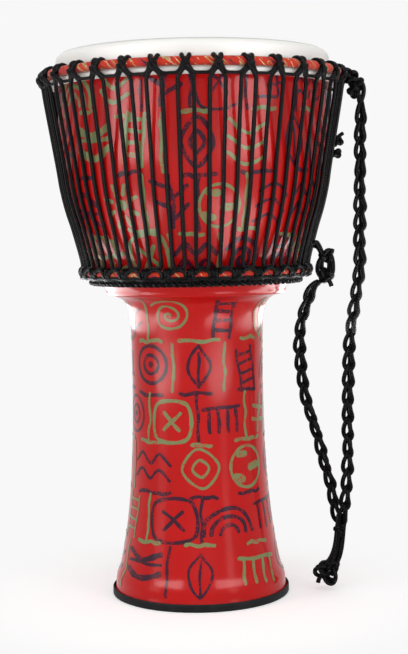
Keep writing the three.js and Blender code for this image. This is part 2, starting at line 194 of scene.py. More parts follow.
def lathe(profile, segments):
    # Turns a closed outline of [radius, height] points about the drum's axis, with millimetres as its UV
    profile = np.asarray(profile, dtype=float)
    count = len(profile)
    angles = 2 * math.pi * np.arange(segments) / segments
    vertices = np.stack(
        [
            profile[:, 0][None, :] * np.sin(angles)[:, None],
            -profile[:, 0][None, :] * np.cos(angles)[:, None],
            np.repeat(profile[:, 1][None, :], segments, axis=0),
        ],
        axis=2,
    ).reshape(-1, 3)
    runs = np.linalg.norm(np.diff(np.vstack([profile, profile[:1]]), axis=0), axis=1)
    along = np.concatenate([[0], np.cumsum(runs)])
    meanRadius = profile[:, 0].mean()
    faces, uvs = [], []
    for i in range(segments):
        j = (i + 1) % segments
        a, b = angles[i] * meanRadius, (angles[i] + angles[1]) * meanRadius
        for k in range(count):
            m = (k + 1) % count
            faces.append((i * count + k, j * count + k, j * count + m, i * count + m))
            uvs += [(a, along[k]), (b, along[k]), (b, along[k + 1]), (a, along[k + 1])]
    return vertices, faces, uvs


def bezier(start, end, handles, steps):
    # A curve between two points; each handle is measured from its own end
    a, d, fromStart, fromEnd = (np.array(p, dtype=float) for p in (start, end, *handles))
    b, c = a + fromStart, d + fromEnd
    t = np.linspace(0, 1, steps + 1)[:, None]
    return (1 - t) ** 3 * a + 3 * (1 - t) ** 2 * t * b + 3 * (1 - t) * t ** 2 * c + t ** 3 * d


def arc(radius, height, size, fromDegrees, toDegrees, steps):
    angles = np.radians(np.linspace(fromDegrees, toDegrees, steps + 1))
    return np.stack([radius + size * np.cos(angles), height + size * np.sin(angles)], axis=1)


def offsetRun(points, distance):
    along = np.gradient(points, axis=0)
    along /= np.linalg.norm(along, axis=1)[:, None]
    return points + np.stack([-along[:, 1], along[:, 0]], axis=1) * distance


def atAngle(degrees, radius, height):
    turn = math.radians(degrees)
    return np.array([radius * math.sin(turn), -radius * math.cos(turn), height])


# camera, tilted down a little and rolled a little, as a hand-held picture is
cameraValues = {
    "distance": 1604.7, "eyeHeight": 406.79, "turn": 0.325, "pitch": 1.762, "roll": 0.96, "sensorHeight": 36,
    "focalPixels": 1436.8, "pictureHeight": 654, "shiftPixels": 55,
}


def makeCamera():
    setup = cameraValues
    data = bpy.data.cameras.new("camera")
    data.sensor_fit = "VERTICAL"
    data.sensor_height = setup["sensorHeight"]
    data.lens = setup["focalPixels"] / setup["pictureHeight"] * data.sensor_height
    data.shift_y = -setup["shiftPixels"] / setup["pictureHeight"]
    camera = bpy.data.objects.new("camera", data)
    bpy.context.scene.collection.objects.link(camera)
    place = Matrix.Translation((0, -setup["distance"] * mm, setup["eyeHeight"] * mm))
    turn = Matrix.Rotation(math.radians(-setup["turn"]), 4, "Z")
    tilt = Matrix.Rotation(math.radians(90 - setup["pitch"]), 4, "X")
    camera.matrix_world = place @ turn @ tilt @ Matrix.Rotation(math.radians(-setup["roll"]), 4, "Z")
    bpy.context.scene.camera = camera
    print("camera placed")


makeCamera()

# rope: braided polyester, matt black with a faint painted highlight on the ridges of its plaits
ropeValues = {
    "black": "#060607", "paintedRidgeHighlight": "#161518", "roughness": 0.36, "specular": 0.05,
    "plaitPitch": 6.0, "plaitsAround": 4, "plaitRange": (-0.8, 0.9),
    "reliefDepth": 0.5, "reliefStrength": 0.7, "highlightBreakWidth": 9, "highlightBreakRange": (0.35, 0.75),
}


def makeRopeMaterial():
    # braided polyester: black in its furrows and a little greyer on its ridges, a painted highlight broken up
    # in patches
    look = ropeValues
    material, tree, shader = newMaterial(
        "braidedPolyesterRope", {"Roughness": look["roughness"], "Specular IOR Level": look["specular"]}
    )
    weave = addNode(tree, "ShaderNodeUVMap", {"uv_map": "weave"})
    parts = addNode(tree, "ShaderNodeSeparateXYZ", links={"Vector": weave})
    # plaits cross in two directions; their real 2 mm pitch is too fine to show and is drawn 6 mm wide
    pitch = {"operation": "MULTIPLY", 1: 2 * math.pi / look["plaitPitch"]}
    along = addNode(tree, "ShaderNodeMath", pitch, {0: parts.outputs["X"]})
    crossings = []
    for way in (1, -1):
        turns = {"operation": "MULTIPLY", 1: way * 2 * math.pi * look["plaitsAround"]}
        around = addNode(tree, "ShaderNodeMath", turns, {0: parts.outputs["Y"]})
        phase = addNode(tree, "ShaderNodeMath", {"operation": "ADD"}, {0: along, 1: around})
        crossings.append(addNode(tree, "ShaderNodeMath", {"operation": "SINE"}, {0: phase}))
    plait = addNode(tree, "ShaderNodeMath", {"operation": "MULTIPLY"}, {0: crossings[0], 1: crossings[1]})
    low, high = look["plaitRange"]
    height = addNode(tree, "ShaderNodeMapRange", {"From Min": low, "From Max": high}, {"Value": plait})
    place = addNode(tree, "ShaderNodeTexCoord").outputs["Object"]
    grain = {"Scale": scaleOf(look["highlightBreakWidth"]), "Detail": 3}
    fibres = addNode(tree, "ShaderNodeTexNoise", grain, {"Vector": place})
    low, high = look["highlightBreakRange"]
    hidden = addNode(tree, "ShaderNodeMapRange", {"From Min": low, "From Max": high}, {"Value": fibres})
    # the grey on the ridges is a painted highlight; noise turns it back to black in patches
    ridgeHighlightTones = {"data_type": "RGBA", 6: linear(look["black"]), 7: linear(look["paintedRidgeHighlight"])}
    highlightedRidges = addNode(tree, "ShaderNodeMix", ridgeHighlightTones, {0: height}).outputs[2]
    dulled = {"data_type": "RGBA", 7: linear(look["black"])}
    colour = addNode(tree, "ShaderNodeMix", dulled, {0: hidden, 6: highlightedRidges}).outputs[2]
    tree.links.new(colour, shader.inputs["Base Color"])
    relief = {"Strength": look["reliefStrength"], "Distance": look["reliefDepth"] * mm}
    bump = addNode(tree, "ShaderNodeBump", relief, {"Height": height})
    tree.links.new(bump.outputs["Normal"], shader.inputs["Normal"])
    return material


ropeMaterial = makeRopeMaterial()


def ropeTube(points, step, radius, closed=False):
    return tube(smoothRoute(points, step, closed), radius, closed=closed)


def makeRopePiece(name, parts, *nodes):
    # One piece of rope made of its tubes, in place of the solids named
    piece = addMesh(name, joinParts(parts), ropeMaterial)
    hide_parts(*nodes)
    return piece


# strap: one rope plaited into a chain of loops, hanging at the drum's right
strapValues = {
    "ropeRadius": 2.55, "linkPitch": 19.6, "halfWidth": 4.9, "depth": 3.1, "chainDiameter": 14,
    "longTurn": (-20, -30), "shortTurn": (-20, -34), "turnShare": (0.3, 0.52), "looseness": 0.14, "lean": 12,
    # one loop of the chain: down it in pitches, sideways in half widths, forwards in depths
    "loop": [
        (-0.10, -0.05, -1.0), (0.14, -0.36, 0.2), (0.50, -0.74, 0.85), (0.92, -1.0, 0.25),
        (1.17, -0.55, -0.1), (1.24, 0.0, -0.2), (1.17, 0.55, -0.1), (0.92, 1.0, 0.25),
        (0.50, 0.74, 0.85), (0.14, 0.36, 0.2), (-0.10, 0.05, -0.95), (0.30, 0.1, -1.25), (0.66, 0.0, -1.35),
    ],
    "looseBeyond": 0.6,
    "lead": [(0.92, -0.2, -1.1), (1.15, 0.3, -0.4), (1.36, 0.1, 0.0)],
    "longLeg": [
        (184, -26, 541), (184, -26, 526), (183, -25, 505), (183, -24, 477), (182, -24, 450), (182, -24, 422),
        (181, -23, 389), (181, -22, 364), (178, -22, 338), (174, -22, 313), (170, -21, 288), (168, -20, 262),
        (167, -20, 237), (166, -20, 211), (166, -19, 186), (166, -18, 160), (165, -18, 135), (163, -18, 109),
        (160, -16, 88), (157.5, -13, 78),
    ],
    "shortLeg": [
        (133, -19, 344), (128, -19, 338), (124, -18, 326), (119, -18, 312), (115, -17, 294), (114, -16, 276),
        (115, -14, 255), (117, -13, 237), (120, -12, 217), (126, -11, 196), (133, -10, 173), (138, -8, 152),
        (143, -7, 133), (147, -6, 119), (150, -5, 100), (153, -4, 86), (155, -4, 79),
    ],
    "tail": [(157, -11, 70), (156, -11, 60), (154, -11, 50), (151, -11, 40), (146, -11, 30)],
    # the tail's four ropes start in the chain and stop in the end knot, with one knot tied round them
    "tailStart": (159, -15, 88), "tailStop": (142, -11, 24), "tailSpread": 3.5, "tailFlatness": 1.25,
    "tailTurn": (35, 50), "tailKnotPlace": (19, 1.6, 2.5), "tailKnotThinner": 0.3, "tailSteps": 8,
    # how far each rope sways in and out, how fast along the tail, and the shift from rope to rope
    "tailSway": (0.16, 7, 2),
    "tailKnot": (1.75, 2.4, ((0.8, 0, 0.6), (-0.6, 0, 0.8), (0, 1, 0))),
    # centre, size, depth and axes of the two overhand knots that make the end knot, and its cut ends
    "endKnots": [
        ((141.5, -11, 20.5), 4.7, 3.8, ((0.9, 0, 0.45), (-0.45, 0, 0.9), (0, 1, 0))),
        ((143.8, -12, 23.0), 3.9, 4.3, ((0.3, 0.2, 0.93), (0.93, 0, -0.3), (0, 1, 0.1))),
    ],
    "endStubs": [
        [(138, -13, 19), (134.5, -13.5, 17.5), (131.5, -13, 12.5), (130.5, -12.5, 9.0)],
        [(140, -9, 22), (134.5, -8.5, 24), (131.0, -9, 26), (129.8, -10, 23.4)],
        [(147, -10, 33), (144, -11, 27), (141, -11, 22)],
    ],
    "knotOpening": 0.1,
}


def routeLength(route):
    return float(np.linalg.norm(np.diff(np.asarray(route, dtype=float), axis=0), axis=1).sum())


def followRoute(route, distance, sideways, forwards, turnDegrees):
    # A point beside a route: distance is measured along it, the turn is about it
    runs = np.linalg.norm(np.diff(route, axis=0), axis=1)
    marks = np.concatenate([[0], np.cumsum(runs)])
    clamped = min(max(distance, 0), marks[-1])
    place = np.array([np.interp(clamped, marks, route[:, axis]) for axis in range(3)])
    index = min(int(np.searchsorted(marks, clamped, side="right")) - 1, len(runs) - 1)
    tangent = (route[index + 1] - route[index]) / runs[index]
    place = place + tangent * (distance - clamped)
    across = np.cross(tangent, [0.0, -1.0, 0.0])
    across /= np.linalg.norm(across)
    front = np.cross(across, tangent)
    turn = math.radians(turnDegrees)
    x = sideways * math.cos(turn) - forwards * math.sin(turn)
    y = sideways * math.sin(turn) + forwards * math.cos(turn)
    return place + across * x + front * y


def chainRope(route, turns, seed):
    # One rope: each loop's two legs stand in front of the loop above, and its head closes behind the next
    size = strapValues
    fine = smoothRoute(route, 4, most=12)
    total = routeLength(fine)
    links = round(total / size["linkPitch"])
    pitch = total / links
    wide, deep = size["halfWidth"], size["depth"]
    turnFrom, turnTo = size["turnShare"]
    hand = random.Random(seed)
    points = []
    for link in range(links):
        loose = 1 + hand.uniform(-size["looseness"], size["looseness"])
        lean = hand.uniform(-size["lean"], size["lean"])
        for rise, side, front in size["loop"]:
            distance = (link + rise) * pitch
            share = min(max(distance / total, 0), 1)
            ease = min(max((share - turnFrom) / (turnTo - turnFrom), 0), 1)
            turn = turns[0] + (turns[1] - turns[0]) * ease * ease * (3 - 2 * ease) + lean
            # only the loop's broad part is looser or tighter than the next one's
            broad = side * loose if abs(side) > size["looseBeyond"] else side
            points.append(followRoute(fine, distance, broad * wide, front * deep, turn))
    for rise, side, front in size["lead"]:
        points.append(followRoute(fine, (links - 1 + rise) * pitch, side * wide, front * deep, turns[1]))
    return ropeTube(points, 2.2, size["ropeRadius"])


def overhandKnot(centre, size, depth, axes, opening):
    # A trefoil, cut open between two lobes, in the plane of the first two axes
    t = np.linspace(opening, 2 * math.pi - opening, 40)
    x = size * (np.sin(t) + 2 * np.sin(2 * t))
    y = size * (np.cos(t) - 2 * np.cos(2 * t))
    z = -depth * np.sin(3 * t)
    first, second, third = (np.array(axis, dtype=float) for axis in axes)
    return np.array(centre) + x[:, None] * first + y[:, None] * second + z[:, None] * third


def tailRopes():
    # The strap's four rope ends run side by side from the last loops to the end knot
    size = strapValues
    route = smoothRoute([size["tailStart"], *size["tail"], size["tailStop"]], 4)
    total = routeLength(route)
    startDegrees, turnDegrees = size["tailTurn"]
    sway, pace, shift = size["tailSway"]
    parts = []
    for k in range(4):
        points = []
        for step in range(size["tailSteps"] + 1):
            share = step / size["tailSteps"]
            angle = math.radians(90 * k + startDegrees + turnDegrees * share)
            reach = size["tailSpread"] * (1 + sway * math.sin(pace * share + shift * k))
            across = size["tailFlatness"] * reach * math.cos(angle)
            points.append(followRoute(route, total * share, across, reach * math.sin(angle), 0))
        parts.append(ropeTube(points, 3, size["ropeRadius"]))
    centre = followRoute(route, *size["tailKnotPlace"], 0)
    knot = overhandKnot(centre, *size["tailKnot"], size["knotOpening"])
    parts.append(ropeTube(knot, 2, size["ropeRadius"] - size["tailKnotThinner"]))
    return parts


def makeEndKnot():
    # Overhand knot of all the ends, pulled tight, with two cut ends standing out at the left
    size = strapValues
    routes = [overhandKnot(*knot, size["knotOpening"]) for knot in size["endKnots"]] + size["endStubs"]
    parts = [ropeTube(route, 2, size["ropeRadius"]) for route in routes]
    return makeRopePiece("strapEndKnot", parts, "strap_end_knot")


def makeStrapLegs():
    size = strapValues
    longParts = [chainRope(size["longLeg"], size["longTurn"], 3), *tailRopes()]
    longLeg = makeRopePiece("strapLongLeg", longParts, "strap_long_leg", "strap_tail")
    shortParts = [chainRope(size["shortLeg"], size["shortTurn"], 8)]
    shortLeg = makeRopePiece("strapShortLeg", shortParts, "strap_short_leg")
    endKnot = makeEndKnot()
    for piece, route, carried in (
        (longLeg, size["longLeg"] + size["tail"], [endKnot]), (shortLeg, size["shortLeg"], []),
    ):
        print(piece.name, "plaited,", round(routeLength(route)), "mm")


makeStrapLegs()

# shell: moulded composite under clear coat, glossy red with its printed pattern
shellValues = {
    "height": 600, "topRadius": 149.5, "straightBottom": 495, "lipRadius": 101, "lipHeight": 340,
    "neckRadius": 73.5, "neckHeight": 290, "footRadius": 97, "bottom": 3.5, "top": 598.7, "wall": 4.5,
    "rimCurl": 8.2, "rimLedge": 6, "bandHeights": (9, 21, 35), "bandDepth": 1.9, "segments": 180,
    # the lip's rounded edge starts this far inwards and down from the lip
    "lipRound": (4, 6.5),
    # where each curve of the outline starts and ends, and its two handles
    "curves": {
        "stem": ("foot", "neck", ((-24, 80), (-2, -100))),
        "under": ("neck", "underLip", ((0, 31), (-20, -2.5))),
        "lip": ("underLip", "lip", ((3.4, 0.9), (-0.8, -2.5))),
        "bowl": ("lip", "top", ((31.8, 50), (0, -45))),
    },
    "red": "#c80c09", "deepRed": "#b40a08", "fleck": "#7c0f12", "cloudWidth": 70,
    "fleckWidth": 1.6, "fleckRange": (0.56, 0.8), "fleckShare": 0.35,
    "rippleWidth": 24, "rippleDepth": 1.0, "rippleStrength": 0.12,
    # the finish of shell and print alike
    "finish": {
        "Roughness": 0.4, "Specular IOR Level": 0.04,
        "Coat Weight": 0.85, "Coat Roughness": 0.16, "Coat IOR": 1.26,
    },
}


def outlinePoints():
    # Where the curves of the shell's outline meet
    s = shellValues
    inwards, down = s["lipRound"]
    return {
        "foot": (s["footRadius"], s["bottom"]),
        "neck": (s["neckRadius"], s["neckHeight"]),
        "underLip": (s["lipRadius"] - inwards, s["lipHeight"] - down),
        "lip": (s["lipRadius"], s["lipHeight"]),
        "top": (s["topRadius"], s["straightBottom"]),
    }


def shellCurve(name, steps):
    # One curve of the outline: the flare of the stem, the underside, the lip's rounded edge or the bowl
    points = outlinePoints()
    start, end, handles = shellValues["curves"][name]
    return bezier(points[start], points[end], handles, steps)


def footBand(heights):
    # The foot's band stands out a little from the flare and ends in a soft step above
    s = shellValues
    low, middle, high = s["bandHeights"]
    rise = np.clip((heights - low) / (middle - low), 0, 1)
    fall = np.clip((heights - middle) / (high - middle), 0, 1)
    return s["bandDepth"] * (rise * rise * (3 - 2 * rise) - fall * fall * (3 - 2 * fall))


rimCentre = (shellValues["topRadius"] - shellValues["rimCurl"], shellValues["top"] - shellValues["rimCurl"])
stemRun = shellCurve("stem", 80)
# close rows at the foot, where the band needs them, and half as many above
stemRun = np.vstack([stemRun[:20], stemRun[20:-1:2], stemRun[-1:]])
stemRun[:, 0] += footBand(stemRun[:, 1])
underRun = shellCurve("under", 20)
bowlRun = shellCurve("bowl", 40)


def bowlRadius(height):
    if height >= shellValues["straightBottom"]:
        return shellValues["topRadius"]
    return float(np.interp(height, bowlRun[:, 1], bowlRun[:, 0]))


def shellRed(tree, place):
    # Red in wide soft clouds with faint darker flecks, which the print lets through
    look = shellValues
    wide = {"Scale": scaleOf(look["cloudWidth"]), "Detail": 3}
    clouds = addNode(tree, "ShaderNodeTexNoise", wide, {"Vector": place})
    reds = {"data_type": "RGBA", 6: linear(look["red"]), 7: linear(look["deepRed"])}
    red = addNode(tree, "ShaderNodeMix", reds, {0: clouds}).outputs[2]
    grain = addNode(tree, "ShaderNodeTexNoise", {"Scale": scaleOf(look["fleckWidth"])}, {"Vector": place})
    low, high = look["fleckRange"]
    flecks = addNode(tree, "ShaderNodeMapRange", {"From Min": low, "From Max": high}, {"Value": grain})
    faint = addNode(tree, "ShaderNodeMath", {"operation": "MULTIPLY", 1: look["fleckShare"]}, {0: flecks})
    darker = {"data_type": "RGBA", 7: linear(look["fleck"])}
    return addNode(tree, "ShaderNodeMix", darker, {0: faint, 6: red}).outputs[2]


def makeShellMaterial():
    # gelcoat under lacquer: a deep even colour, soft long highlights, the faintest ripple of the mould
    look = shellValues
    material, tree, shader = newMaterial("redGelcoatUnderLacquer", look["finish"])
    place = addNode(tree, "ShaderNodeTexCoord").outputs["Object"]
    tree.links.new(shellRed(tree, place), shader.inputs["Base Color"])
    ripple = addNode(tree, "ShaderNodeTexNoise", {"Scale": scaleOf(look["rippleWidth"])}, {"Vector": place})
    relief = {"Strength": look["rippleStrength"], "Distance": look["rippleDepth"] * mm}
    bump = addNode(tree, "ShaderNodeBump", relief, {"Height": ripple})
    tree.links.new(bump.outputs["Normal"], shader.inputs["Normal"])
    return material


def makeShell():
    s = shellValues
    ledge = rimCentre[0] - s["rimLedge"]
    outside = np.vstack([
        stemRun, underRun[1:], shellCurve("lip", 5)[1:], bowlRun[1:], arc(*rimCentre, s["rimCurl"], 0, 90, 8),
        [(ledge, s["top"]), (ledge, s["top"] - s["wall"])],
    ])
    inside = np.vstack([
        offsetRun(shellCurve("stem", 24), s["wall"]), offsetRun(shellCurve("under", 12), s["wall"])[1:10],
        offsetRun(shellCurve("bowl", 20), s["wall"])[2:],
        arc(*rimCentre, s["rimCurl"] - s["wall"], 0, 90, 5),
    ])
    # the inside ends a little short of the outside's foot, on one level with it
    inside[0] = (s["footRadius"] - s["wall"] - 0.3, s["bottom"])
    goblet = lathe(np.vstack([outside, inside[::-1]]), s["segments"])
    piece = addMesh("goblet", goblet, makeShellMaterial(), sharpAngle=50)
    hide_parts("shell")
    print("shell turned")


makeShell()

# print on the shell: hand-drawn strokes in two inks
printValues = {
    "dark": "#28152a", "sage": "#76895a", "lifts": (0.16, 0.28), "liftStep": 0.012, "liftSteps": 8, "seed": 7,
    # where the ink is dry and broken the red shows through, most at thin spots and a little everywhere
    "spotWidth": 2.4, "spotRoughness": 0.6, "patchWidth": 16, "patchShare": 0.55, "thinRange": (0.8, 1.02),
    "redThrough": (0.8, 0.04),
    # the hand: a line's sway and change of width, and how a motif is sized, turned and moved in its cell
    "wobble": 0.6, "phaseReach": 6.28, "ends": ((1.0, 0.3), (0.72, 0.72), (0.3, 0.95)), "lean": 9,
    "wide": (0.78, 0.96), "tall": (0.82, 0.96), "pens": (0.72, 0.85, 1.0, 1.1), "angleDrift": 1.5,
    "riseDrift": 0.07, "lineDrift": 1.3, "lineAngleDrift": 4,
    # the lengths over which a line sways across and along, and how much and how fast its width swells
    "swayLengths": (5.1, 6.3), "swells": ((0.12, 3.7), (0.07, 1.9)),
    # a motif is at most this many cell heights wide and cell widths high
    "mostWide": 1.15, "mostTall": 1.3,
    # upright lines between the cells: how many there are, how they stray, half their height and their pen
    "uprightShare": 0.55, "uprightDrift": 1.2, "uprightHalf": 0.47, "uprightPen": 0.85,
    # one side of the drum has more sage than dark
    "sageTurn": -45, "sageReach": 32, "sageInks": (0, 1, 1, 1),
    "stem": {
        "heights": (14, 332), "tiers": 6, "columns": 8, "pen": 4.0, "inks": (0, 0, 1),
        "lines": 8, "lineShares": (0.3, 0.75), "lineRise": 3,
    },
    "bowl": {
        "heights": (346, 588), "tiers": 4, "columns": 16, "pen": 4.4, "inks": (0, 0, 0, 1),
        "lines": 14, "lineShares": (0.25, 0.6), "lineRise": 5,
    },
}


def makeInkMaterial(name, ink):
    # screen ink laid thinly: the red shows through it and at its dry, broken spots
    look = printValues
    material, tree, shader = newMaterial(name, shellValues["finish"])
    place = addNode(tree, "ShaderNodeTexCoord").outputs["Object"]
    fine = {"Scale": scaleOf(look["spotWidth"]), "Detail": 3, "Roughness": look["spotRoughness"]}
    spots = addNode(tree, "ShaderNodeTexNoise", fine, {"Vector": place})
    patches = addNode(tree, "ShaderNodeTexNoise", {"Scale": scaleOf(look["patchWidth"])}, {"Vector": place})
    shares = {"operation": "MULTIPLY_ADD", 1: look["patchShare"]}
    both = addNode(tree, "ShaderNodeMath", shares, {0: patches, 2: spots})
    low, high = look["thinRange"]
    thin = addNode(tree, "ShaderNodeMapRange", {"From Min": low, "From Max": high}, {"Value": both})
    most, least = look["redThrough"]
    shown = addNode(tree, "ShaderNodeMath", {"operation": "MULTIPLY_ADD", 1: most, 2: least}, {0: thin})
    over = {"data_type": "RGBA", 6: linear(ink)}
    colour = addNode(tree, "ShaderNodeMix", over, {0: shown, 7: shellRed(tree, place)}).outputs[2]
    tree.links.new(colour, shader.inputs["Base Color"])
    return material


class Surface:
    # The shell's outside as one run from foot to rim, to lay strokes on
    def __init__(self, run):
        self.run = np.asarray(run)
        runs = np.linalg.norm(np.diff(self.run, axis=0), axis=1)
        self.marks = np.concatenate([[0], np.cumsum(runs)])
        along = np.gradient(self.run, axis=0)
        along /= np.linalg.norm(along, axis=1)[:, None]
        self.outwards = np.stack([along[:, 1], -along[:, 0]], axis=1)

    def at(self, distance):
        # Radius, height and the outward direction's two parts at a distance along the run
        return [np.interp(distance, self.marks, column) for column in (*self.run.T, *self.outwards.T)]

    def distanceAt(self, height):
        return float(np.interp(height, self.run[:, 1], self.marks))

    def place(self, points, centreAngle, centreDistance, lift):
        points = np.asarray(points)
        radius, height, outR, outZ = self.at(centreDistance + points[:, 1])
        scale = self.at(centreDistance)[0]
        angle = math.radians(centreAngle) + points[:, 0] / scale
        r = radius + outR * lift
        return np.stack([r * np.sin(angle), -r * np.cos(angle), height + outZ * lift], axis=1)


def circle(radius, x=0.0, y=0.0, count=14, start=0.0, share=1.0):
    t = start + 2 * math.pi * share * np.arange(count) / (count if share == 1.0 else count - 1)
    return [(x + radius * math.cos(a), y + radius * math.sin(a)) for a in t]


# Motifs are lists of (points, closed), drawn in a cell one unit wide and high; a third value broadens the
# pen. Some are turned over by the hand that draws them
def zigzag(hand):
    x = (-0.48, -0.24, 0, 0.24, 0.48)
    return [([(a, y + b) for a, b in zip(x, (-0.1, 0.12, -0.1, 0.12, -0.1))], False) for y in (0.17, -0.17)]


def spiral(hand):
    way = hand.choice((-1, 1))
    t = np.linspace(0.35, 2.4 * 2 * math.pi, 34)
    return [([(way * 0.03 * a * math.cos(a), 0.03 * a * math.sin(a)) for a in t], False)]


def rings(hand):
    return [(circle(0.4), True), (circle(0.2), True), (circle(0.035, count=8), True)]


def diamonds(hand):
    sizes = ((0.36, 0.46), (0.16, 0.2))
    return [([(0, -tall), (wide, 0), (0, tall), (-wide, 0)], True) for wide, tall in sizes]


def chevrons(hand):
    way = hand.choice((-1, 1))
    return [
        ([(-0.38, way * (y + 0.2)), (0, way * y), (0.38, way * (y + 0.2))], False)
        for y in (-0.42, -0.14, 0.14)
    ]


def comb(hand):
    way = hand.choice((-1, 1))
    teeth = [([(x, way * 0.2), (x + 0.02, way * -0.34)], False) for x in (-0.34, -0.12, 0.11, 0.33)]
    return [([(-0.44, way * 0.2), (0.44, way * 0.22)], False), *teeth]


def ladder(hand):
    rungs = [([(-0.2, y), (0.2, y + 0.02)], False) for y in (-0.3, -0.08, 0.14, 0.34)]
    return [([(-0.2, -0.46), (-0.21, 0.46)], False), ([(0.2, -0.46), (0.2, 0.46)], False), *rungs]


def waves(hand):
    x = np.linspace(-0.46, 0.46, 13)
    return [([(a, y + 0.08 * math.sin(a * 13.5)) for a in x], False) for y in (-0.26, 0.0, 0.26)]


def dots(hand):
    spots = [([(x, y), (x + 0.03, y + 0.03)], False, 1.7) for x in (-0.28, 0, 0.28) for y in (-0.22, 0.1)]
    return [*spots, ([(-0.42, 0.36), (0.42, 0.36)], False)]


def pebbles(hand):
    return [([(-0.3, -0.22), (-0.12, -0.26)], False, 2.4), ([(0.1, -0.02), (0.32, 0.02)], False, 2.6),
            ([(-0.24, 0.24), (-0.06, 0.26)], False, 2.2), (circle(0.43, count=18), True)]


def sun(hand):
    rays = [([(0.24 * math.cos(a), 0.24 * math.sin(a)), (0.44 * math.cos(a), 0.44 * math.sin(a))], False)
            for a in np.radians(np.arange(20, 380, 45))]
    return [([(-0.02, 0), (0.03, 0.01)], False, 2.6), *rays]


def wedges(hand):
    way = hand.choice((-1, 1))
    peaks = [([(-0.4, way * y), (0.0, way * (y + 0.16)), (0.4, way * y)], False, 1.8) for y in (-0.3, 0.12)]
    return [*peaks, ([(-0.4, way * -0.08), (0.4, way * -0.06)], False)]


def leaf(hand):
    t = np.linspace(0, math.pi, 9)
    side = [(0.24 * math.sin(a), -0.45 + 0.9 * a / math.pi) for a in t]
    return [(side, False), ([(-x, y) for x, y in side], False), ([(0, -0.45), (0, 0.3)], False)]


def steps(hand):
    way = hand.choice((-1, 1))
    points = [
        (-0.44, -0.3), (-0.22, -0.3), (-0.22, -0.08), (0.02, -0.08), (0.02, 0.14), (0.24, 0.14), (0.24, 0.36),
        (0.46, 0.36),
    ]
    return [([(way * x, y) for x, y in points], False), ([(way * x, y - 0.22) for x, y in points[2:]], False)]


def fan(hand):
    way = hand.choice((-1, 1))
    arcs = [circle(radius, count=9, share=0.5) for radius in (0.2, 0.38, 0.55)]
    return [([(way * x, y - 0.3) for x, y in points], False) for points in arcs]


def crossed(hand):
    box = ([(-0.4, -0.4), (0.4, -0.38), (0.38, 0.4), (-0.4, 0.38)], True)
    return [box, ([(-0.2, -0.2), (0.2, 0.2)], False), ([(-0.2, 0.2), (0.2, -0.2)], False)]


def grid(hand):
    uprights = [[(-0.16, -0.42), (-0.12, 0.42)], [(0.14, -0.42), (0.16, 0.42)]]
    levels = [[(-0.42, -0.15), (0.42, -0.12)], [(-0.42, 0.15), (0.42, 0.16)]]
    return [(line, False) for line in uprights + levels]


def sprig(hand):
    stem = [(-0.04, -0.46), (0.03, -0.1), (0.0, 0.46)]
    sides = [[(0.02, y), (way * 0.34, y + 0.2)] for y, way in ((-0.3, 1), (-0.14, -1), (0.04, 1), (0.2, -1))]
    return [(stem, False), *[(side, False) for side in sides]]


motifs = [
    zigzag, spiral, rings, diamonds, chevrons, comb, ladder, waves, dots, leaf, steps, fan, crossed, grid,
    sprig, pebbles, sun, wedges,
]


def strokeRibbon(points, closed, halfWidth, hand):
    # The left and right edge of a hand-drawn line, with round ends
    look = printValues
    route = smoothRoute([(x, y, 0) for x, y in points], 3.0, closed, most=30)[:, :2]
    phases = [hand.uniform(0, look["phaseReach"]) for _ in range(4)]
    marks = np.concatenate([[0], np.cumsum(np.linalg.norm(np.diff(route, axis=0), axis=1))])
    if closed:
        around = np.vstack([route[-1], route, route[0]])
    else:
        sways = [np.sin(marks / length + phase) for length, phase in zip(look["swayLengths"], phases)]
        route = route + look["wobble"] * np.stack(sways, axis=1)
        around = np.vstack([2 * route[0] - route[1], route, 2 * route[-1] - route[-2]])
    along = around[2:] - around[:-2]
    along /= np.maximum(np.linalg.norm(along, axis=1), 1e-6)[:, None]
    across = np.stack([-along[:, 1], along[:, 0]], axis=1)
    (broad, slow), (fine, quick) = look["swells"]
    swell = 1 + broad * np.sin(marks / slow + phases[2]) + fine * np.sin(marks / quick + phases[3])
    rows = list(zip(route, across, halfWidth * swell))
    if not closed:
        # a row of a round end stands out by one share of the half width and is as wide as the other
        first, last = [
            [(place + way * halfWidth * out, side, halfWidth * wide) for out, wide in look["ends"]]
            for place, way, side in ((route[0], -along[0], across[0]), (route[-1], along[-1], across[-1]))
        ]
        rows = first + rows + last[::-1]
    left = np.array([place + side * wide for place, side, wide in rows])
    right = np.array([place - side * wide for place, side, wide in rows])
    return left, right


class PrintLayer:
    # The strokes of one ink, each at its own small height so that none lies in another
    def __init__(self, name, ink, lift):
        self.name, self.ink, self.lift = name, ink, lift
        self.parts = []

    def draw(self, surface, points, closed, halfWidth, angle, distance, hand):
        look = printValues
        left, right = strokeRibbon(points, closed, halfWidth, hand)
        lift = self.lift + look["liftStep"] * (len(self.parts) % look["liftSteps"])
        rows = [surface.place(side, angle, distance, lift) for side in (left, (left + right) / 2, right)]
        count = len(left)
        faces = []
        for i in range(count if closed else count - 1):
            j = (i + 1) % count
            for k in (0, 1):
                faces.append((3 * i + k, 3 * i + k + 1, 3 * j + k + 1, 3 * j + k))
        self.parts.append((np.stack(rows, axis=1).reshape(-1, 3), faces, []))

    def finish(self):
        piece = addMesh(self.name, joinParts(self.parts), makeInkMaterial(self.name + "Ink", self.ink))


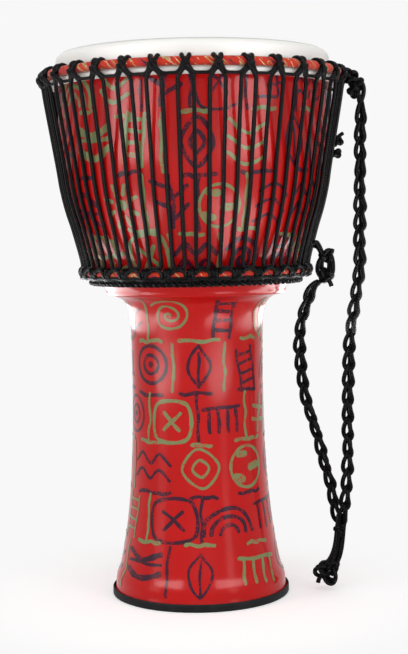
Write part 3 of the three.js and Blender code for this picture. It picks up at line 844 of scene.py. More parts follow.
def printTier(surface, layers, hand, area, low, high, shift):
    # One row of motifs round the shell, each by hand in its own cell
    look = printValues
    bag = []
    columns, halfWidth = area["columns"], area["pen"] / 2
    centre = (low + high) / 2
    height = high - low
    cell = 2 * math.pi * float(surface.at(centre)[0]) / columns
    for column in range(columns):
        angle = (column + shift) * 360 / columns + hand.uniform(-look["angleDrift"], look["angleDrift"])
        sageSide = abs((angle - look["sageTurn"] + 180) % 360 - 180) < look["sageReach"]
        layer = layers[hand.choice(look["sageInks"] if sageSide else area["inks"])]
        lean = math.radians(hand.uniform(-look["lean"], look["lean"]))
        cosine, sine = math.cos(lean), math.sin(lean)
        wide = min(cell * hand.uniform(*look["wide"]), height * look["mostWide"])
        tall = min(height * hand.uniform(*look["tall"]), cell * look["mostTall"])
        pen = halfWidth * hand.choice(look["pens"])
        if not bag:
            bag = hand.sample(motifs, len(motifs))
        rise = centre + hand.uniform(-look["riseDrift"], look["riseDrift"]) * height
        for points, closed, *broad in bag.pop()(hand):
            turned = [
                (wide * (x * cosine - y * sine), tall * (x * sine + y * cosine))
                for x, y in points
            ]
            layer.draw(surface, turned, closed, pen * (broad[0] if broad else 1), angle, rise, hand)
        # a wavering upright line between some cells
        if hand.random() < look["uprightShare"]:
            drift, half = look["uprightDrift"], height * look["uprightHalf"]
            line = [(hand.uniform(-drift, drift), y) for y in np.linspace(-half, half, 6)]
            edge, thin = angle + 180 / columns, halfWidth * look["uprightPen"]
            layers[hand.choice((0, 1))].draw(surface, line, False, thin, edge, centre, hand)


def printBand(surface, layer, hand, area, centre):
    # A broken level line between two tiers
    look = printValues
    pieces, rise = area["lines"], area["lineRise"]
    around = 2 * math.pi * float(surface.at(centre)[0])
    for k in range(pieces):
        length = around / pieces * hand.uniform(*area["lineShares"])
        drift = look["lineDrift"]
        line = [(x, hand.uniform(-drift, drift)) for x in np.linspace(-length / 2, length / 2, 7)]
        place = centre + hand.uniform(-rise, rise)
        angle = k * 360 / pieces + hand.uniform(-look["lineAngleDrift"], look["lineAngleDrift"])
        layer.draw(surface, line, False, area["pen"] / 2, angle, place, hand)


def makePrint():
    look = printValues
    hand = random.Random(look["seed"])
    layers = [
        PrintLayer(name, look[ink], lift)
        for name, ink, lift in zip(("printDark", "printSage"), ("dark", "sage"), look["lifts"])
    ]
    stem = Surface(np.vstack([stemRun, underRun[1:]]))
    bowl = Surface(np.vstack([bowlRun, arc(*rimCentre, shellValues["rimCurl"], 0, 30, 3)]))
    for surface, area in ((stem, look["stem"]), (bowl, look["bowl"])):
        low, high = (surface.distanceAt(height) for height in area["heights"])
        tier = (high - low) / area["tiers"]
        for k in range(area["tiers"]):
            base = low + k * tier
            printTier(surface, layers, hand, area, base, base + tier, 0.5 * (k % 2))
            if k:
                printBand(surface, layers[k % 2], hand, area, base)
    for layer in layers:
        layer.finish()
    print("print laid,", sum(len(layer.parts) for layer in layers), "strokes")


makePrint()

# foot ring: moulded rubber channel, matt with a dusty bloom
footValues = {
    "outer": 98.6, "groove": 97.3, "inner": 89.2, "innerWall": 1.3, "height": 8.5, "floor": 3.2,
    "lowerRound": 1.2, "upperRound": 1.1, "chamfer": 0.6, "segments": 160,
    "black": "#0c0d0f", "bloom": "#191a1c", "roughness": 0.6, "specular": 0.15,
    "dustWidth": 14, "dustRange": (0.45, 0.8), "grainWidth": 1.2, "grainDepth": 0.15, "grainStrength": 0.3,
}


def makeRubberMaterial():
    # moulded rubber: dull and near black, with dust in patches; its 0.3 mm grain is drawn 1.2 mm wide to show
    look = footValues
    material, tree, shader = newMaterial(
        "mouldedRubber", {"Roughness": look["roughness"], "Specular IOR Level": look["specular"]}
    )
    place = addNode(tree, "ShaderNodeTexCoord").outputs["Object"]
    powder = {"Scale": scaleOf(look["dustWidth"]), "Detail": 4}
    dust = addNode(tree, "ShaderNodeTexNoise", powder, {"Vector": place})
    low, high = look["dustRange"]
    patches = addNode(tree, "ShaderNodeMapRange", {"From Min": low, "From Max": high}, {"Value": dust})
    tones = {"data_type": "RGBA", 6: linear(look["black"]), 7: linear(look["bloom"])}
    colour = addNode(tree, "ShaderNodeMix", tones, {0: patches}).outputs[2]
    tree.links.new(colour, shader.inputs["Base Color"])
    grain = addNode(tree, "ShaderNodeTexNoise", {"Scale": scaleOf(look["grainWidth"])}, {"Vector": place})
    relief = {"Strength": look["grainStrength"], "Distance": look["grainDepth"] * mm}
    bump = addNode(tree, "ShaderNodeBump", relief, {"Height": grain})
    tree.links.new(bump.outputs["Normal"], shader.inputs["Normal"])
    return material


def makeFootRing():
    s = footValues
    lower, upper = s["lowerRound"], s["upperRound"]
    wall = s["inner"] + s["innerWall"]
    profile = np.vstack([
        [(s["inner"], s["chamfer"]), (s["inner"] + s["chamfer"], 0)],
        arc(s["outer"] - lower, lower, lower, -90, 0, 4),
        arc(s["outer"] - upper, s["height"] - upper, upper, 0, 90, 4),
        [(s["groove"], s["height"]), (s["groove"], s["floor"]), (wall, s["floor"]), (wall, s["height"])],
        [(s["inner"], s["height"])],
    ])
    piece = addMesh("footChannel", lathe(profile, s["segments"]), makeRubberMaterial())
    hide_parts("foot_ring")
    print("foot ring turned")


makeFootRing()

# head: satin polyester film, formed over a rounded edge and folded round its hoop
headValues = {
    "outerRadius": 151.5, "corner": 9.0, "film": 1.0, "segments": 180,
    "hoopRadius": 155.3, "hoopHeight": 566.5, "foldInner": 3.8,
    "topRadii": (0.02, 30, 60, 90, 120, 138), "undersideRadii": (138, 90, 40, 0.02),
    # the edge colour is a painted shade, laid in a ring where the film bends over the rim
    "white": "#f6f5f1", "shade": "#efeee9", "edge": "#b9b7b2", "roughness": 0.55,
    "cloudWidth": 60, "cloudRange": (0.35, 0.75), "paintedShadeRadii": (141.5, 145, 149),
    "grainWidth": 1.5, "grainDepth": 0.1, "grainStrength": 0.12,
}


def makeFilmMaterial():
    # satin film: a white without gloss, with painted shade in a ring where it bends over the rim; its tooth
    # is too fine to show and is drawn 1.5 mm wide
    look = headValues
    material, tree, shader = newMaterial("satinPolyesterFilm", {"Roughness": look["roughness"]})
    place = addNode(tree, "ShaderNodeTexCoord").outputs["Object"]
    soft = {"Scale": scaleOf(look["cloudWidth"]), "Detail": 3}
    cloud = addNode(tree, "ShaderNodeTexNoise", soft, {"Vector": place})
    low, high = look["cloudRange"]
    shaded = addNode(tree, "ShaderNodeMapRange", {"From Min": low, "From Max": high}, {"Value": cloud})
    whites = {"data_type": "RGBA", 6: linear(look["white"]), 7: linear(look["shade"])}
    film = addNode(tree, "ShaderNodeMix", whites, {0: shaded}).outputs[2]
    # painted shade: the film's colour is greyed in a ring where it bends over the rim, in place of the shade
    # there
    parts = addNode(tree, "ShaderNodeSeparateXYZ", links={"Vector": place})
    flat = addNode(tree, "ShaderNodeCombineXYZ", links={"X": parts.outputs["X"], "Y": parts.outputs["Y"]})
    radius = addNode(tree, "ShaderNodeVectorMath", {"operation": "LENGTH"}, {0: flat}).outputs["Value"]
    inner, middle, outer = (value * mm for value in look["paintedShadeRadii"])
    rise = addNode(tree, "ShaderNodeMapRange", {"From Min": inner, "From Max": middle}, {"Value": radius})
    fall = addNode(tree, "ShaderNodeMapRange", {"From Min": outer, "From Max": middle}, {"Value": radius})
    paintedBendShade = addNode(tree, "ShaderNodeMath", {"operation": "MULTIPLY"}, {0: rise, 1: fall})
    paintedShadeGrey = {"data_type": "RGBA", 7: linear(look["edge"])}
    colour = addNode(tree, "ShaderNodeMix", paintedShadeGrey, {0: paintedBendShade, 6: film}).outputs[2]
    tree.links.new(colour, shader.inputs["Base Color"])
    grain = addNode(tree, "ShaderNodeTexNoise", {"Scale": scaleOf(look["grainWidth"])}, {"Vector": place})
    relief = {"Strength": look["grainStrength"], "Distance": look["grainDepth"] * mm}
    bump = addNode(tree, "ShaderNodeBump", relief, {"Height": grain})
    tree.links.new(bump.outputs["Normal"], shader.inputs["Normal"])
    return material


def makeHead():
    s = headValues
    top = shellValues["height"]
    corner = (s["outerRadius"] - s["corner"], top - s["corner"])
    outside = np.vstack([
        [(radius, float(top)) for radius in s["topRadii"]], arc(*corner, s["corner"], 90, 0, 10),
        arc(s["hoopRadius"], s["hoopHeight"], s["foldInner"], 180, 420, 18),
    ])
    inside = np.vstack([
        arc(s["hoopRadius"], s["hoopHeight"], s["foldInner"] + s["film"], 420, 180, 18),
        arc(*corner, s["corner"] - s["film"], 0, 90, 8),
        [(radius, top - s["film"]) for radius in s["undersideRadii"]],
    ])
    film = lathe(np.vstack([outside, inside])[::-1], s["segments"])
    piece = addMesh("head", film, makeFilmMaterial(), sharpAngle=50)
    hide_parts("drum_head")
    print("head formed")


makeHead()

# wrapped rings: strips of printed cotton wound round steel bar
ringValues = {
    # radius and height of each ring, and its bar's radius
    "crown": (162.0, 574.4, 3.5), "bottom": (123.3, 359.0, 2.5),
    # degrees round its bar where each sleeve's seam lies, and half the seam's opening
    "crownSeam": 240, "bottomSeam": 180, "seam": 12,
    "count": 32, "turn": -2.4, "cloth": 1.0, "gap": 0.3, "segments": 192,
    "orange": "#c62f12", "crimson": "#b3222f", "sage": "#8c9a5c", "cream": "#e6cf9d", "dark": "#3a2431",
    "bands": [
        (0.0, "dark"), (0.335, "crimson"), (0.4, "orange"), (0.597, "cream"), (0.615, "sage"),
        (0.655, "orange"),
    ],
    "slashWidth": 4.6, "slashStretch": 0.3, "slashBreaks": 1.5, "slashWander": 0.5, "slant": 0.9,
    "windPitch": 26, "foldWidth": 2.5, "thread": 1.1, "threadWander": 1.5, "threadShare": 0.25,
    "reliefDepth": 0.5, "reliefStrength": 0.6, "roughness": 0.85, "specular": 0.12, "sheen": 0.2,
}
stationStep = 360 / ringValues["count"]
crownStations = [ringValues["turn"] + k * stationStep for k in range(ringValues["count"])]
bottomStations = [station + stationStep / 2 for station in crownStations]


def clothOuter(ring):
    return ring[2] + ringValues["gap"] + ringValues["cloth"]


def makeClothMaterial():
    # plain-woven cotton with a loose print, wound slantwise so that each strip's edge shows
    look = ringValues
    material, tree, shader = newMaterial("printedCottonStrip", {
        "Roughness": look["roughness"], "Specular IOR Level": look["specular"], "Sheen Weight": look["sheen"],
    })
    weave = addNode(tree, "ShaderNodeUVMap", {"uv_map": "weave"})
    parts = addNode(tree, "ShaderNodeSeparateXYZ", links={"Vector": weave})
    along, around = parts.outputs["X"], parts.outputs["Y"]
    slanted = {"operation": "MULTIPLY_ADD", 1: look["slant"]}
    slant = addNode(tree, "ShaderNodeMath", slanted, {0: around, 2: along})
    stretch = {"operation": "MULTIPLY", 1: look["slashStretch"]}
    long = addNode(tree, "ShaderNodeMath", stretch, {0: around})
    skewed = addNode(tree, "ShaderNodeCombineXYZ", links={"X": slant, "Y": long})
    slashes = {
        "Scale": 1 / look["slashWidth"], "Detail": look["slashBreaks"], "Distortion": look["slashWander"],
    }
    patches = addNode(tree, "ShaderNodeTexNoise", slashes, {"Vector": skewed})
    ramp = addNode(tree, "ShaderNodeValToRGB", links={"Fac": patches})
    stops = ramp.color_ramp
    stops.interpolation = "CONSTANT"
    while len(stops.elements) < len(look["bands"]):
        stops.elements.new(0.5)
    for element, (position, name) in zip(stops.elements, look["bands"]):
        element.position = position
        element.color = linear(look[name])
    tree.links.new(ramp.outputs["Color"], shader.inputs["Base Color"])
    edge = addNode(tree, "ShaderNodeMath", {"operation": "MODULO", 1: look["windPitch"]}, {0: slant})
    fold = addNode(tree, "ShaderNodeMapRange", {"From Max": look["foldWidth"]}, {"Value": edge})
    # the real threads lie 0.4 mm apart, too fine to show, and are drawn 1.1 mm apart; a wave texture runs
    # about three times through its scale
    twist = {"Scale": 1 / look["thread"] / 3, "Distortion": look["threadWander"], "Detail": 1}
    threads = addNode(tree, "ShaderNodeTexWave", twist, {"Vector": weave}).outputs["Fac"]
    woven = {"operation": "MULTIPLY_ADD", 1: look["threadShare"]}
    height = addNode(tree, "ShaderNodeMath", woven, {0: threads, 2: fold})
    relief = {"Strength": look["reliefStrength"], "Distance": look["reliefDepth"] * mm}
    bump = addNode(tree, "ShaderNodeBump", relief, {"Height": height})
    tree.links.new(bump.outputs["Normal"], shader.inputs["Normal"])
    return material


clothMaterial = makeClothMaterial()


def makeSleeve(name, ring, seamAngle, node):
    radius, height, bar = ring
    inner = bar + ringValues["gap"]
    low, high = seamAngle + ringValues["seam"], seamAngle + 360 - ringValues["seam"]
    outside = arc(radius, height, inner + ringValues["cloth"], low, high, 22)
    profile = np.vstack([outside, arc(radius, height, inner, high, low, 16)])
    piece = addMesh(name, lathe(profile, ringValues["segments"]), clothMaterial, sharpAngle=60)
    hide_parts(node)


makeSleeve("crownCloth", ringValues["crown"], ringValues["crownSeam"], "crown_ring_sleeve")
makeSleeve("bottomCloth", ringValues["bottom"], ringValues["bottomSeam"], "bottom_ring_sleeve")
print("rings wrapped")

# lacing: three ropes that hitch, tension and hook
lacingValues = {
    "ropeRadius": 2.2, "hitchRadius": 2.4, "levelRadius": 1.8, "loopRadius": 2.05, "squeeze": 1.2, "sides": 8,
    "step": 2.4, "longStep": 3.2, "bumpSpread": 3.8, "legSpread": 7.9, "strandSpread": 6.0, "clearance": 0.15,
    "restHeights": (470, 455, 440, 424, 408), "restTop": 552, "restFoot": 370,
    # over a station in shares of the half width, outwards from the cloth, and angle round the ring
    "scallop": ((-1, 1.2, 10), (-0.6, 1.7, 38), (0, 1.8, 48), (0.6, 1.7, 38), (1, 1.2, 10)),
    "scallopHalf": 6.8,
    # the turns after it: how many points, the first angle, the degrees from one to the next and their slack
    "turnPoints": 26, "turnStart": 8, "turnDegrees": 40, "turnSlack": 0.5, "slackPace": 1.7,
    # the strand that goes down lies this much further out, above this angle on the crown ring
    "crossingLift": 1.5, "crossingAngle": -50,
    # along the ring, outwards from the cloth, and angle round the ring
    "lowerRun": (
        (-10.6, 1.7, -48), (-7.4, 1.3, -60), (-3.2, 0.4, -60), (3.2, 0.6, -66), (7.2, 1.6, -66),
        (10.2, 1.9, -54),
    ),
    # along the ring, outwards from its bar and upwards
    "hook": ((-6.0, 2.6, 10.5), (-5.2, 2.4, 7.0), (0, 2.8, 5.9), (5.2, 2.4, 7.0), (6.0, 2.6, 10.5)),
}


def besideRing(ring, station, along, distance, angle):
    # Along the ring from a station, then by distance and angle from its bar; 0 is outwards and 90 up
    degrees = station + math.degrees(along / ring[0])
    turn = math.radians(angle)
    return atAngle(degrees, ring[0] + distance * math.cos(turn), ring[1] + distance * math.sin(turn))


def overCloth(ring, radius):
    # From a ring's middle to the middle of a rope of this radius that presses a little into the cloth
    return clothOuter(ring) + radius - lacingValues["squeeze"]


def crownHitch(station):
    # Two turns over the ring, joined behind it, whose ends cross in front below it; the fourth value is the
    # rope's radius, full over the ring and drawn thin in the level run between two hitches
    size = lacingValues
    full, thin = size["hitchRadius"], size["levelRadius"]
    over = overCloth(ringValues["crown"], full)
    wide = size["bumpSpread"]
    enter = [
        (-14.7, 12.6, -76, thin), (-11.4, 12.6, -76, thin), (-8.6, 12.2, -74, 2.0), (-5.8, 10.6, -65, 2.2),
        (-3.3, 8.3, -42, full), (0, over + 0.2, -16, full), (wide * 0.6, over, 14, full),
        (wide * 0.88, over, 42, full),
    ]
    across = [(wide, over, angle, full) for angle in (74, 112, 150)]
    across += [(wide * 0.6, over, 182, full), (-wide * 0.6, over, 182, full)]
    across += [(-wide, over, angle, full) for angle in (150, 112, 74)]
    leave = [
        (-wide * 0.88, over + 0.3, 42, full), (-wide * 0.5, over + 1.2, 14, full),
        (0.3, over + 2.0, -16, full), (3.6, 9.7, -44, full), (6.0, 11.1, -65, 2.2), (8.6, 12.4, -74, 2.0),
        (11.4, 12.6, -76, thin),
    ]
    return [
        [*besideRing(ringValues["crown"], station, along, distance, angle), radius]
        for along, distance, angle, radius in enter + across + leave
    ]


def bottomHitch(station):
    # A scallop over the station, then two turns round the ring
    size = lacingValues
    ring = ringValues["bottom"]
    over = overCloth(ring, size["loopRadius"])
    half = size["scallopHalf"]
    between = 2 * math.pi * ring[0] / ringValues["count"] - 2 * half
    route = [(half * share, over + out, angle) for share, out, angle in size["scallop"]]
    for k in range(1, size["turnPoints"] + 1):
        out = size["turnSlack"] * math.sin(size["slackPace"] * k)
        angle = size["turnStart"] - size["turnDegrees"] * k
        route.append((half + between * k / size["turnPoints"], over + out, angle))
    return [besideRing(ring, station, *place) for place in route]


def bottomRun(station):
    # A second rope along the ring's lower front, over the turns and sagging between them
    ring = ringValues["bottom"]
    over = overCloth(ring, lacingValues["loopRadius"])
    places = [(along, over + out, angle) for along, out, angle in lacingValues["lowerRun"]]
    return [besideRing(ring, station, *place) for place in places]


def lacingRun(crownStation, bottomStation):
    # Up one strand to the bight in the crown hitch, down the next and under the scallop
    size = lacingValues
    crown, bottom = ringValues["crown"], ringValues["bottom"]
    leg = size["legSpread"]
    rise = [
        (-leg, 23.4, -85), (-leg + 0.3, 17.0, -80), (-5.0, 12.6, -72), (-2.0, 10.2, -57), (1.6, 9.2, -36),
        (3.0, 8.4, -16),
    ]
    # the strand that goes down crosses outside the one that comes up
    fall = [
        (-along, distance + (size["crossingLift"] if angle > size["crossingAngle"] else 0), angle)
        for along, distance, angle in reversed(rise)
    ]

    def rests(side, target, heights):
        start = crownStation + side * math.degrees(leg / crown[0])
        foot = target - side * math.degrees(size["strandSpread"] / bottom[0])
        places = []
        for height in heights:
            share = (size["restTop"] - height) / (size["restTop"] - size["restFoot"])
            radius = bowlRadius(height) + size["ropeRadius"] + size["clearance"]
            places.append(atAngle(start + (foot - start) * share, radius, height))
        return places

    up = rests(-1, bottomStation - stationStep, reversed(size["restHeights"]))
    down = rests(1, bottomStation, size["restHeights"])
    lower = [
        atAngle(bottomStation + math.degrees(along / bottom[0]), bottom[0] + out, bottom[1] + above)
        for along, out, above in size["hook"]
    ]
    return [*up, *[besideRing(crown, crownStation, *place) for place in rise + fall], *down, *lower]


def endlessRope(points, step, radius=None):
    # A closed rope through points; without one radius for all, each point's fourth value is its own
    route = smoothRoute(points, step, True, most=7)
    return tube(route[:, :3], radius or route[:, 3], lacingValues["sides"], True)


def makeLacing():
    size = lacingValues
    crownRow = [point for station in crownStations for point in crownHitch(station)]
    makeRopePiece("crownLoops", [endlessRope(crownRow, size["step"])], "crown_loops")
    bottomRows = [
        [point for station in bottomStations for point in form(station)] for form in (bottomHitch, bottomRun)
    ]
    loops = [endlessRope(row, size["step"], size["loopRadius"]) for row in bottomRows]
    makeRopePiece("bottomLoops", loops, "bottom_loops")
    runs = [point for pair in zip(crownStations, bottomStations) for point in lacingRun(*pair)]
    lacing = endlessRope(runs, size["longStep"], size["ropeRadius"])
    makeRopePiece("verticalLacing", [lacing], "vertical_lacing")
    print("lacing laid")


# braid: the lacing's tail, plaited flat of three strands and laid round the base under the turns
braidValues = {
    "radius": 114.6, "height": 350.2, "periods": 34, "periodSteps": 8, "strandRadius": 2.35,
    "out": 0.8, "depth": 1.9, "rise": 3.0,
}


def makeBraid():
    s = braidValues
    count = s["periods"] * s["periodSteps"]
    parts = []
    for strand in range(3):
        points = []
        for step in range(count):
            phase = 2 * math.pi * (step / s["periodSteps"] + strand / 3)
            radius = s["radius"] + s["depth"] * math.sin(2 * phase) + s["out"]
            points.append(atAngle(360 * step / count, radius, s["height"] + s["rise"] * math.sin(phase)))
        parts.append(ropeTube(points, 2.6, s["strandRadius"], True))
    makeRopePiece("baseBraid", parts, "base_braid")
    print("base braid plaited")


# tie-off: two stopper knots on the strand at the right, with their cut ends standing off
tieOffValues = {
    # the strand that they are tied to: degrees from its station, radius and height, from the top down
    "station": 8, "strand": ((2.7, 155.4, 505), (2.8, 154.6, 497), (2.9, 153.9, 490), (3.0, 153.0, 483)),
    # each coil's lower and upper end on the strand, the degrees where it starts, and its cut end
    "coils": ((1, 0, -60, (7.5, -1.5, 5.0)), (3, 2, 20, (5.0, 1.0, -4.0))), "turns": 1.9, "bite": 0.4,
    "turnPoints": 8,
    # centre, size, depth and axes of each overhand knot
    "knots": (
        ((160.8, -8, 500.5), 1.35, 1.9, ((0.6, 0, 0.8), (-0.8, 0.2, 0.6), (0, -1, 0))),
        ((159.0, -8, 487), 1.35, 1.9, ((0.9, 0, 0.4), (-0.4, 0, 0.9), (0, -1, 0))),
    ),
    "knotOpening": 0.06,
}


def hitchesOn(low, high, reach, turns, startDegrees):
    # Turns of rope round a straight run
    low, high = np.array(low, dtype=float), np.array(high, dtype=float)
    along = high - low
    side = np.cross([0, 0, 1.0], along)
    side /= np.linalg.norm(side)
    other = np.cross(along / np.linalg.norm(along), side)
    count = int(turns * tieOffValues["turnPoints"])
    points = []
    for i in range(count + 1):
        angle = math.radians(startDegrees + 360 * turns * i / count)
        around = side * reach * math.cos(angle) + other * reach * math.sin(angle)
        points.append(low + along * i / count + around)
    return points


def makeTieOff():
    s = tieOffValues
    radius = lacingValues["ropeRadius"]
    station = crownStations[s["station"]]
    strand = [atAngle(station + degrees, out, height) for degrees, out, height in s["strand"]]
    parts = []
    for low, high, start, end in s["coils"]:
        coil = hitchesOn(strand[low], strand[high], 2 * radius - s["bite"], s["turns"], start)
        stub = [coil[-1] + np.array(end) * share for share in (0.5, 1)]
        parts.append(ropeTube([*coil, *stub], 1.8, radius))
    parts += [ropeTube(overhandKnot(*knot, s["knotOpening"]), 2, radius) for knot in s["knots"]]
    makeRopePiece("lacingTieOff", parts, "lacing_tie_off")
    print("lacing tied off")


# strap knots: the strap's rope hitched round the crown ring, and round a strand above the bottom ring
strapKnotValues = {
    "station": 7, "knotOpening": 0.08,
    # two turns over the crown ring, side by side, and the ends that lead away from them
    "turnSpread": 2.1, "turnGap": 0.1, "turnAngles": (5, 50, 95, 140, 180),
    "turnEnds": ((2.1, 20, -38), (-1, 18, -30)),
    # centre, size, depth and axes of each overhand knot
    "topKnots": (
        ((172.5, -24, 571), 2.5, 3.2, ((0.85, 0.1, -0.5), (0.5, 0, 0.85), (0, -1, 0.1))),
        ((179.5, -26, 562), 2.4, 3.0, ((0.3, 0.3, 0.9), (0.95, 0, -0.3), (0, -1, 0.3))),
        ((176.0, -25, 553), 1.9, 2.6, ((0.9, 0.2, 0.3), (-0.3, 0.1, 0.95), (0, -1, 0))),
    ),
    "topLead": (
        (178, -25, 566), (183.5, -26, 565), (187, -26, 558), (186.5, -26, 549), (183, -26, 541),
        (181.5, -26, 549), (180.5, -26, 557), (176, -26, 560),
    ),
    # the loop round the strand: its middle along the bottom ring, radius and height, and its reach
    "strand": (-4.5, 133.0, 384), "strandReach": 4.0, "strandTurn": (50, 52),
    "strandLeads": ([(0.5, 141, 372), (0.4, 139, 379)], [(-2, 141, 378), (-1, 143, 372)]),
    "link": (
        (146, -19, 380), (140.5, -20, 374), (135.5, -20, 366), (134.5, -20, 357), (138.5, -20, 350),
        (145, -20, 348), (150.5, -20, 354), (151.5, -20, 364), (149.5, -20, 374), (146, -19, 378),
    ),
    # cut ends and the two lengths inside the link
    "stubs": (
        [(145, -20, 372), (149.5, -21, 376), (151, -21, 381)],
        [(143, -20, 349), (147.5, -21, 345), (149.5, -21, 340)],
        [(141, -19, 350), (137, -19, 345), (133, -19, 341)],
        [(142, -17, 374), (139.2, -17, 364), (141, -17, 353)],
        [(147, -17.5, 373), (147.6, -17.5, 363), (146, -17.5, 352)],
    ),
    "bottomKnots": (
        ((144.5, -20, 374), 2.3, 3.0, ((0.9, 0, 0.4), (-0.4, 0, 0.9), (0, -1, 0))),
        ((143.5, -20.5, 352), 2.4, 3.0, ((0.8, 0, -0.6), (0.6, 0, 0.8), (0, -1, 0))),
    ),
}


def strapKnots(knots):
    # The overhand knots of one cluster
    opening = strapKnotValues["knotOpening"]
    return [ropeTube(overhandKnot(*knot, opening), 2, strapValues["ropeRadius"]) for knot in knots]


def makeTopKnot():
    s = strapKnotValues
    radius = strapValues["ropeRadius"]
    crown = ringValues["crown"]
    spread, over = s["turnSpread"], clothOuter(crown) + radius + s["turnGap"]
    first = [(spread, over, angle) for angle in s["turnAngles"]]
    second = [(-spread, over, angle) for angle in reversed(s["turnAngles"])]
    start, end = s["turnEnds"]
    station = crownStations[s["station"]] + stationStep / 2
    turns = [besideRing(crown, station, *place) for place in (start, *first, *second, end)]
    parts = [ropeTube(turns, 2.2, radius), *strapKnots(s["topKnots"]), ropeTube(s["topLead"], 2.2, radius)]
    makeRopePiece("strapTopKnot", parts, "strap_top_knot")


def makeBottomKnot():
    s = strapKnotValues
    radius = strapValues["ropeRadius"]
    bottom, station = ringValues["bottom"], bottomStations[s["station"]]
    along, out, height = s["strand"]
    reach = s["strandReach"]
    startDegrees, stepDegrees = s["strandTurn"]
    loop = []
    for k in range(6):
        turn = math.radians(startDegrees + stepDegrees * k)
        loop.append((along + reach * math.sin(turn), out + reach * math.cos(turn), height + k))
    leadIn, leadOut = s["strandLeads"]
    hitch = [
        atAngle(station + math.degrees(side / bottom[0]), distance, level)
        for side, distance, level in leadIn + loop + leadOut
    ]
    parts = [ropeTube(hitch, 2, radius), ropeTube(s["link"], 2.2, radius, True)]
    parts += [ropeTube(stub, 2, radius) for stub in s["stubs"]] + strapKnots(s["bottomKnots"])
    makeRopePiece("strapBottomKnot", parts, "strap_bottom_knot")


makeLacing()
makeBraid()
makeTieOff()
makeTopKnot()
makeBottomKnot()
print("strap knots tied")

# hidden steel: round bar with a dull zinc plate
steelValues = {"zinc": "#8b8d90", "dull": "#6f7174", "roughness": 0.38, "spangleWidth": 7}


def finishSteel():
    # zinc plate: a soft grey metal, clouded by its spangle
    look = steelValues
    material, tree, shader = newMaterial("zincPlatedSteel", {"Roughness": look["roughness"], "Metallic": 1.0})
    place = addNode(tree, "ShaderNodeTexCoord").outputs["Object"]
    cloudy = {"Scale": scaleOf(look["spangleWidth"]), "Detail": 4}
    spangle = addNode(tree, "ShaderNodeTexNoise", cloudy, {"Vector": place})
    greys = {"data_type": "RGBA", 6: linear(look["zinc"]), 7: linear(look["dull"])}
    colour = addNode(tree, "ShaderNodeMix", greys, {0: spangle}).outputs[2]
    tree.links.new(colour, shader.inputs["Base Color"])
    for name in ("flesh_hoop", "crown_ring", "bottom_ring"):
        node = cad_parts[name]
        node.data.materials.clear()
        node.data.materials.append(material)
    print("steel finished")


finishSteel()

# studio: white sweep, two tall soft boxes, one overhead, one low in front, and panels that only gloss shows
studioValues = {
    "background": "#f8f8f8", "ambient": 0.53,
    "floor": "#fafafa", "floorLift": 0.36, "floorHalf": 6.0, "floorDrop": 0.0002, "shadowReach": (0.12, 0.32),
    "lamps": [
        # name, place, aim, size, power, and what it shows on
        ("leftBox", (-1.5, -0.75, 0.75), (0, 0, 0.4), (0.5, 1.7), 5.2, "all"),
        ("rightBox", (1.25, -1.35, 0.8), (0, 0, 0.4), (0.35, 1.6), 4.5, "all"),
        ("topBox", (0.1, -0.6, 1.9), (0, 0, 0.3), (1.2, 1.2), 4.2, "all"),
        ("frontBox", (0.05, -1.9, 0.3), (0, 0, 0.42), (1.3, 0.5), 7.5, "matt"),
        ("leftPanel", (-0.65, -0.63, 0.68), (0, 0, 0.68), (0.66, 0.6), 13, "gloss"),
        ("rightPanel", (0.6, -0.68, 0.68), (0, 0, 0.68), (0.7, 0.6), 12, "gloss"),
        # the next four lie level above the foot and shine upward: only the neck and the bowl show them
        ("frontLeft", (-0.42, -0.31, 0.2), (-0.42, -0.31, 1), (0.36, 0.36), 4.2, "gloss"),
        ("frontRight", (0.3, -0.43, 0.2), (0.3, -0.43, 1), (0.36, 0.36), 3.8, "gloss"),
        ("neckLeft", (-0.22, 0.07, 0.288), (-0.22, 0.07, 1), (0.18, 0.32), 1.7, "gloss"),
        ("neckRight", (0.23, 0.05, 0.288), (0.23, 0.05, 1), (0.18, 0.32), 1.7, "gloss"),
    ],
}


def seenPlainly(tree):
    # 1 where the camera looks, straight or by way of gloss or glass, and 0 for the light that falls on things
    path = addNode(tree, "ShaderNodeLightPath")
    seen = path.outputs["Is Camera Ray"]
    for ray in ("Is Glossy Ray", "Is Transmission Ray"):
        seen = addNode(tree, "ShaderNodeMath", {"operation": "MAXIMUM"}, {0: seen, 1: path.outputs[ray]})
    return seen


def makeBackdrop():
    setup = studioValues
    world = bpy.data.worlds.new("studioWorld")
    bpy.context.scene.world = world
    world.use_nodes = True
    tree = world.node_tree
    tree.nodes.clear()
    ambient = addNode(tree, "ShaderNodeBackground", {"Color": (1, 1, 1, 1), "Strength": setup["ambient"]})
    shown = addNode(tree, "ShaderNodeBackground", {"Color": linear(setup["background"])})
    mixed = addNode(tree, "ShaderNodeMixShader", links={0: seenPlainly(tree), 1: ambient, 2: shown})
    addNode(tree, "ShaderNodeOutputWorld", links={"Surface": mixed})


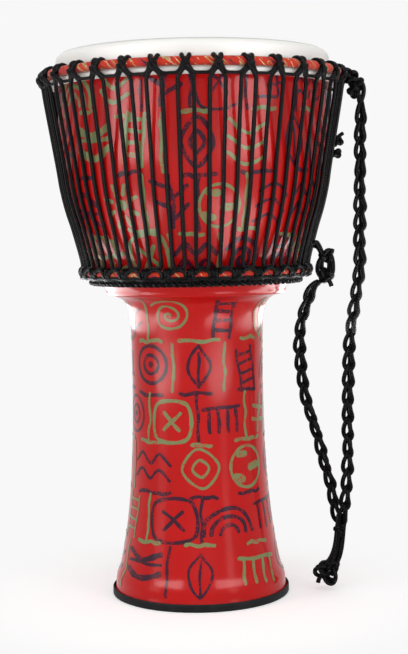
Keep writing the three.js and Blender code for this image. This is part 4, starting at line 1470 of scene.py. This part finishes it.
def makePaperMaterial():
    # Matt white paper that keeps the drum's shadow near it and goes over into the plain backdrop further out
    setup = studioValues
    material = bpy.data.materials.new("paperSweep")
    material.use_nodes = True
    tree = material.node_tree
    tree.nodes.clear()
    place = addNode(tree, "ShaderNodeTexCoord").outputs["Object"]
    parts = addNode(tree, "ShaderNodeSeparateXYZ", links={"Vector": place})
    flat = addNode(tree, "ShaderNodeCombineXYZ", links={"X": parts.outputs["X"], "Y": parts.outputs["Y"]})
    reach = addNode(tree, "ShaderNodeVectorMath", {"operation": "LENGTH"}, {0: flat}).outputs["Value"]
    near, far = setup["shadowReach"]
    fade = {"interpolation_type": "SMOOTHSTEP", "From Min": near, "From Max": far}
    away = addNode(tree, "ShaderNodeMapRange", fade, {"Value": reach})
    seen = seenPlainly(tree)
    factor = addNode(tree, "ShaderNodeMath", {"operation": "MULTIPLY"}, {0: away, 1: seen})
    paper = addNode(tree, "ShaderNodeBsdfDiffuse", {"Color": linear(setup["floor"])})
    lift = addNode(tree, "ShaderNodeMath", {"operation": "MULTIPLY", 1: setup["floorLift"]}, {0: seen})
    glow = addNode(tree, "ShaderNodeEmission", {"Color": (1, 1, 1, 1)}, {"Strength": lift})
    lit = addNode(tree, "ShaderNodeAddShader", links={0: paper, 1: glow})
    plain = addNode(tree, "ShaderNodeEmission", {"Color": linear(setup["background"])})
    mixed = addNode(tree, "ShaderNodeMixShader", links={0: factor, 1: lit, 2: plain})
    addNode(tree, "ShaderNodeOutputMaterial", links={"Surface": mixed})
    return material


def makeFloor():
    half = studioValues["floorHalf"]
    mesh = bpy.data.meshes.new("floor")
    corners = [(-half, -half, 0), (half, -half, 0), (half, half, 0), (-half, half, 0)]
    mesh.from_pydata(corners, [], [(0, 1, 2, 3)])
    mesh.materials.append(makePaperMaterial())
    floor = bpy.data.objects.new("floor", mesh)
    # a hair below the foot, so that the two never share a plane
    floor.location.z = -studioValues["floorDrop"]
    bpy.context.scene.collection.objects.link(floor)


def makeLamps():
    for name, position, aim, size, power, shownOn in studioValues["lamps"]:
        data = bpy.data.lights.new(name, "AREA")
        data.shape = "RECTANGLE"
        data.size, data.size_y = size
        data.energy = power
        lamp = bpy.data.objects.new(name, data)
        bpy.context.scene.collection.objects.link(lamp)
        lamp.visible_diffuse = shownOn != "gloss"
        lamp.visible_glossy = shownOn != "matt"
        lamp.visible_camera = False
        lamp.location = position
        lamp.rotation_euler = (Vector(aim) - Vector(position)).to_track_quat("-Z", "Y").to_euler()


bpy.context.scene.view_settings.view_transform = "Standard"
makeBackdrop()
makeFloor()
makeLamps()
print("studio lit")
